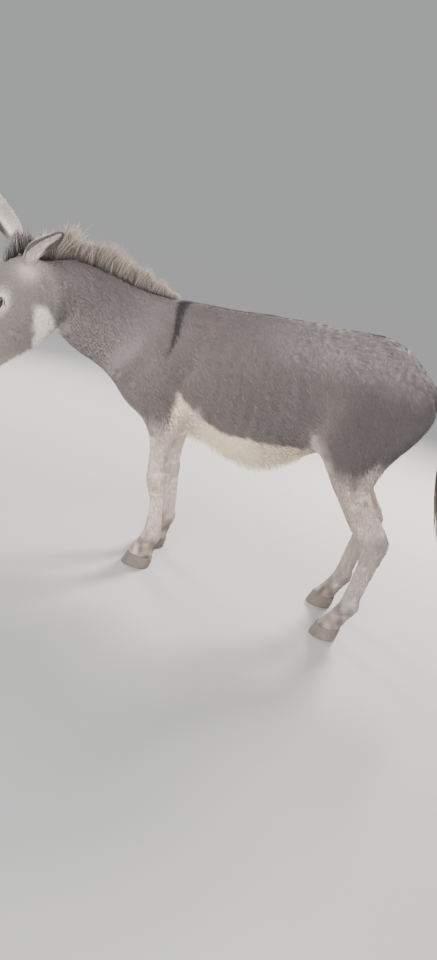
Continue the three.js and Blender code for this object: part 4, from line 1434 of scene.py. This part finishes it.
coat_finish = Finish("coat", Roughness=0.85, Specular_IOR_Level=0.2, Sheen_Weight=0.15, Sheen_Roughness=0.6)
tint = coat_finish.node("ShaderNodeAttribute", {"attribute_name": "tint"})
fleck = coat_finish.noise(coat_finish.stretched((240.0, 240.0, 160.0)), 1.0, 3.0)
coat_finish.feed({"Base Color": coat_finish.shade(0.35, tint, fleck * 1.3 + 0.2, "MULTIPLY")})
wear(hide, coat_finish)

for name in np.unique(place):
    area = face_area[place == name].sum()
    tufts = FINE_TUFTS if name in ("head", "forelegs", "hindlegs") else BODY_TUFTS
    root, normal, spot = sown(place == name, min(int(area * tufts), MOST_TUFTS))
    left, _ = both_sides(in_head(root))
    bare = (eye_angles(left) < 6) & (np.linalg.norm(left - EYE_PLACE, axis=1) < 30)
    bare = bare | (nostril_reach(left) < 1.1) | (mouth_line(left, 3.0) > 0.45)
    haired = ~((past_throat(root) > 0.5) & bare)
    root, normal, spot, left = root[haired], normal[haired], spot[haired], left[haired]
    length, width, deep = hair_size(root, left, name in ("forelegs", "hindlegs"))
    length = length * random.uniform(0.7, 1.25, len(root))
    deep = deep * random.uniform(0.3, 0.85, len(root))
    width = width * random.uniform(0.7, 1.2, len(root))
    coat_piece("coat_" + name, root, normal, spot, length, width, deep, markings(root, normal))


def fringe(name, chosen, count, length, width, way, curl, colour, thin=0.0):
    """Longer hair in curved locks out of some faces of the hide. Way is where it points and curl is how it
    bends, both as shares of the hide's normal, the lie of the coat and straight down."""
    root, normal, spot = sown(chosen, count)
    flow = lie(root, normal)
    parts = np.stack([normal, flow, np.tile([0, 0, -1.0], (count, 1))])
    clump = np.stack([mottle(root, 0.022, seed) for seed in (31, 32, 33)], -1)
    aim = unit(np.tensordot(way, parts, 1) + 0.12 * random.normal(size=(count, 3)) + 0.20 * clump)
    bend = np.tensordot(curl, parts, 1) + 0.10 * random.normal(size=(count, 3))
    long = length * random.uniform(0.3, 1.15, count) * (1 - thin * ramp(normal[:, 2], -0.97, -0.55))
    made = locks(root - normal * 0.003, aim, normal, long, width * random.uniform(0.7, 1.2, count), bend, 3)
    fringe_points, fringe_faces, owner, share = made
    piece = piece_of(name, mesh_of(name, fringe_points + ORIGIN, fringe_faces))
    tone = np.clip(1 + 0.12 * random.normal(size=count), 0.6, 1.4)
    own = markings(root, normal) if colour is None else np.tile(colour, (count, 1))
    tinted(piece.data, np.clip(own[owner] * tone[owner][:, None] * (0.85 + 0.25 * share)[:, None], 0, 1))
    patches(piece.data, fringe_faces, owner, share, spot)
    wear(piece, coat_finish)
    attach(piece, "root")


x, y, z = face_middle.T
facing = normals[faces].mean(1)
belly = (x > 0.06) & (x < 0.52) & (z < 0.66) & (facing[:, 2] < -0.50)
fringe("belly_fringe", belly, 3800, 0.030, 0.0026, (0.40, 0.42, 0.9), (-0.1, 0.2, 0.25), CREAM, 0.6)
share, across, front = in_ears(face_middle)
inward = np.zeros(len(faces))
for start, up, hollow, _ in map(ear_frame, EARS):
    close = np.linalg.norm(face_middle - start - 0.12 * up, axis=1) < 0.16
    inward = np.maximum(inward, (facing @ hollow) * close)
in_hollow = (share > 0.10) & (share < 0.80) & (inward > 0.05) & (abs(across) < 0.62)
# pale hair in the ear hollows, brightened with painted light against their shade
fringe("ear_hair", in_hollow, 2600, 0.026, 0.0016, (0.55, 0.85, 0.0), (-0.2, 0.25, 0.0), EAR_HAIR_PALE_PAINTED_LIGHT)
left, _ = both_sides(in_head(face_middle))
jaw = on_head_faces & (facing @ HEADWARD[:, 2] < -0.6) & (left[:, 0] > 40) & (left[:, 0] < 330)
fringe("jaw_fringe", jaw, 1500, 0.017, 0.0018, (0.45, 0.7, 0.3), (0.0, 0.0, 0.2), None)

# ---- Studio --------------------------------------------------------------------------------------
# The camera stands on the animal's left, a little above its back, and is rolled as it was held.
CAMERA_PLACE = (0.850, -2.600, 1.330)
CAMERA_YAW = 13.7
CAMERA_PITCH = 18.7
CAMERA_ROLL = 14.0
FOCAL_SHARE = 700 / 960  # focal length as a share of the picture's height
FILM_HEIGHT = 36
FLOOR_SIDE = 60
FLOOR_GREY = 0.462
SKY_POWER = 2.3
SKY_FROM = (0.30, -0.85, 0.75)
WORLD_COLOUR = (0.86, 0.87, 0.88, 1)
WORLD_POWER = 0.46

lens = bpy.data.cameras.new("camera")
lens.sensor_fit = "VERTICAL"
lens.sensor_height = lens.sensor_width = FILM_HEIGHT
lens.lens = FILM_HEIGHT * FOCAL_SHARE
camera = piece_of("camera", lens)
yaw, pitch, roll = (math.radians(angle) for angle in (CAMERA_YAW, CAMERA_PITCH, CAMERA_ROLL))
ahead = np.array([-math.sin(yaw) * math.cos(pitch), math.cos(yaw) * math.cos(pitch), -math.sin(pitch)])
level = np.array([math.cos(yaw), math.sin(yaw), 0])
upright = np.cross(level, ahead)
right = math.cos(roll) * level + math.sin(roll) * upright
top = math.cos(roll) * upright - math.sin(roll) * level
place = np.eye(4)
place[:3, :3] = np.c_[right, top, -ahead]
place[:3, 3] = np.array(CAMERA_PLACE) + ORIGIN
camera.matrix_world = Matrix(place.tolist())
bpy.context.scene.camera = camera

floor = piece_of("floor", bpy.data.meshes.new("floor"))
edge = FLOOR_SIDE / 2
floor_corners = [(-edge, -edge, 0), (edge, -edge, 0), (edge, edge, 0), (-edge, edge, 0)]
floor.data.from_pydata(floor_corners, [], [(0, 1, 2, 3)])
floor_finish = Finish("floor", Roughness=0.9, Specular_IOR_Level=0.1)
floor_finish.feed({"Base Color": (FLOOR_GREY, FLOOR_GREY, FLOOR_GREY, 1)})
wear(floor, floor_finish)


def soft_light(name, place, aim, size, power, colour):
    """A square soft box that looks at a point."""
    light = bpy.data.lights.new(name, "AREA")
    light.size, light.energy, light.color = size, power, colour
    lamp = piece_of(name, light)
    lamp.location = Vector(place)
    lamp.rotation_euler = (Vector(aim) - Vector(place)).to_track_quat("-Z", "Y").to_euler()


soft_light("key", (0.4, -4.6, 1.3), (-0.1, 0, 0.75), 2.6, 150, (1.0, 0.975, 0.96))
soft_light("low", (0.5, -3.0, 0.35), (0.25, 0, 0.62), 1.6, 56, (1.0, 0.95, 0.90))
soft_light("fill", (-3.6, -2.6, 1.6), (-0.3, 0, 0.8), 2.4, 70, (1.0, 0.98, 0.96))
soft_light("rim", (1.3, 3.0, 2.7), (0.4, 0, 1.05), 1.0, 400, (1.0, 0.95, 0.90))
soft_light("edge", (-2.6, 2.6, 1.9), (-0.3, 0, 0.8), 1.2, 110, (1.0, 0.96, 0.92))
sky = bpy.data.lights.new("sky", "SUN")
sky.energy = SKY_POWER
sky.angle = math.radians(50)
lamp = piece_of("sky", sky)
lamp.rotation_euler = Vector(SKY_FROM).to_track_quat("Z", "Y").to_euler()
world = bpy.data.worlds.new("studio")
world.use_nodes = True
backdrop = world.node_tree.nodes["Background"]
backdrop.inputs["Color"].default_value = WORLD_COLOUR
backdrop.inputs["Strength"].default_value = WORLD_POWER
bpy.context.scene.world = world
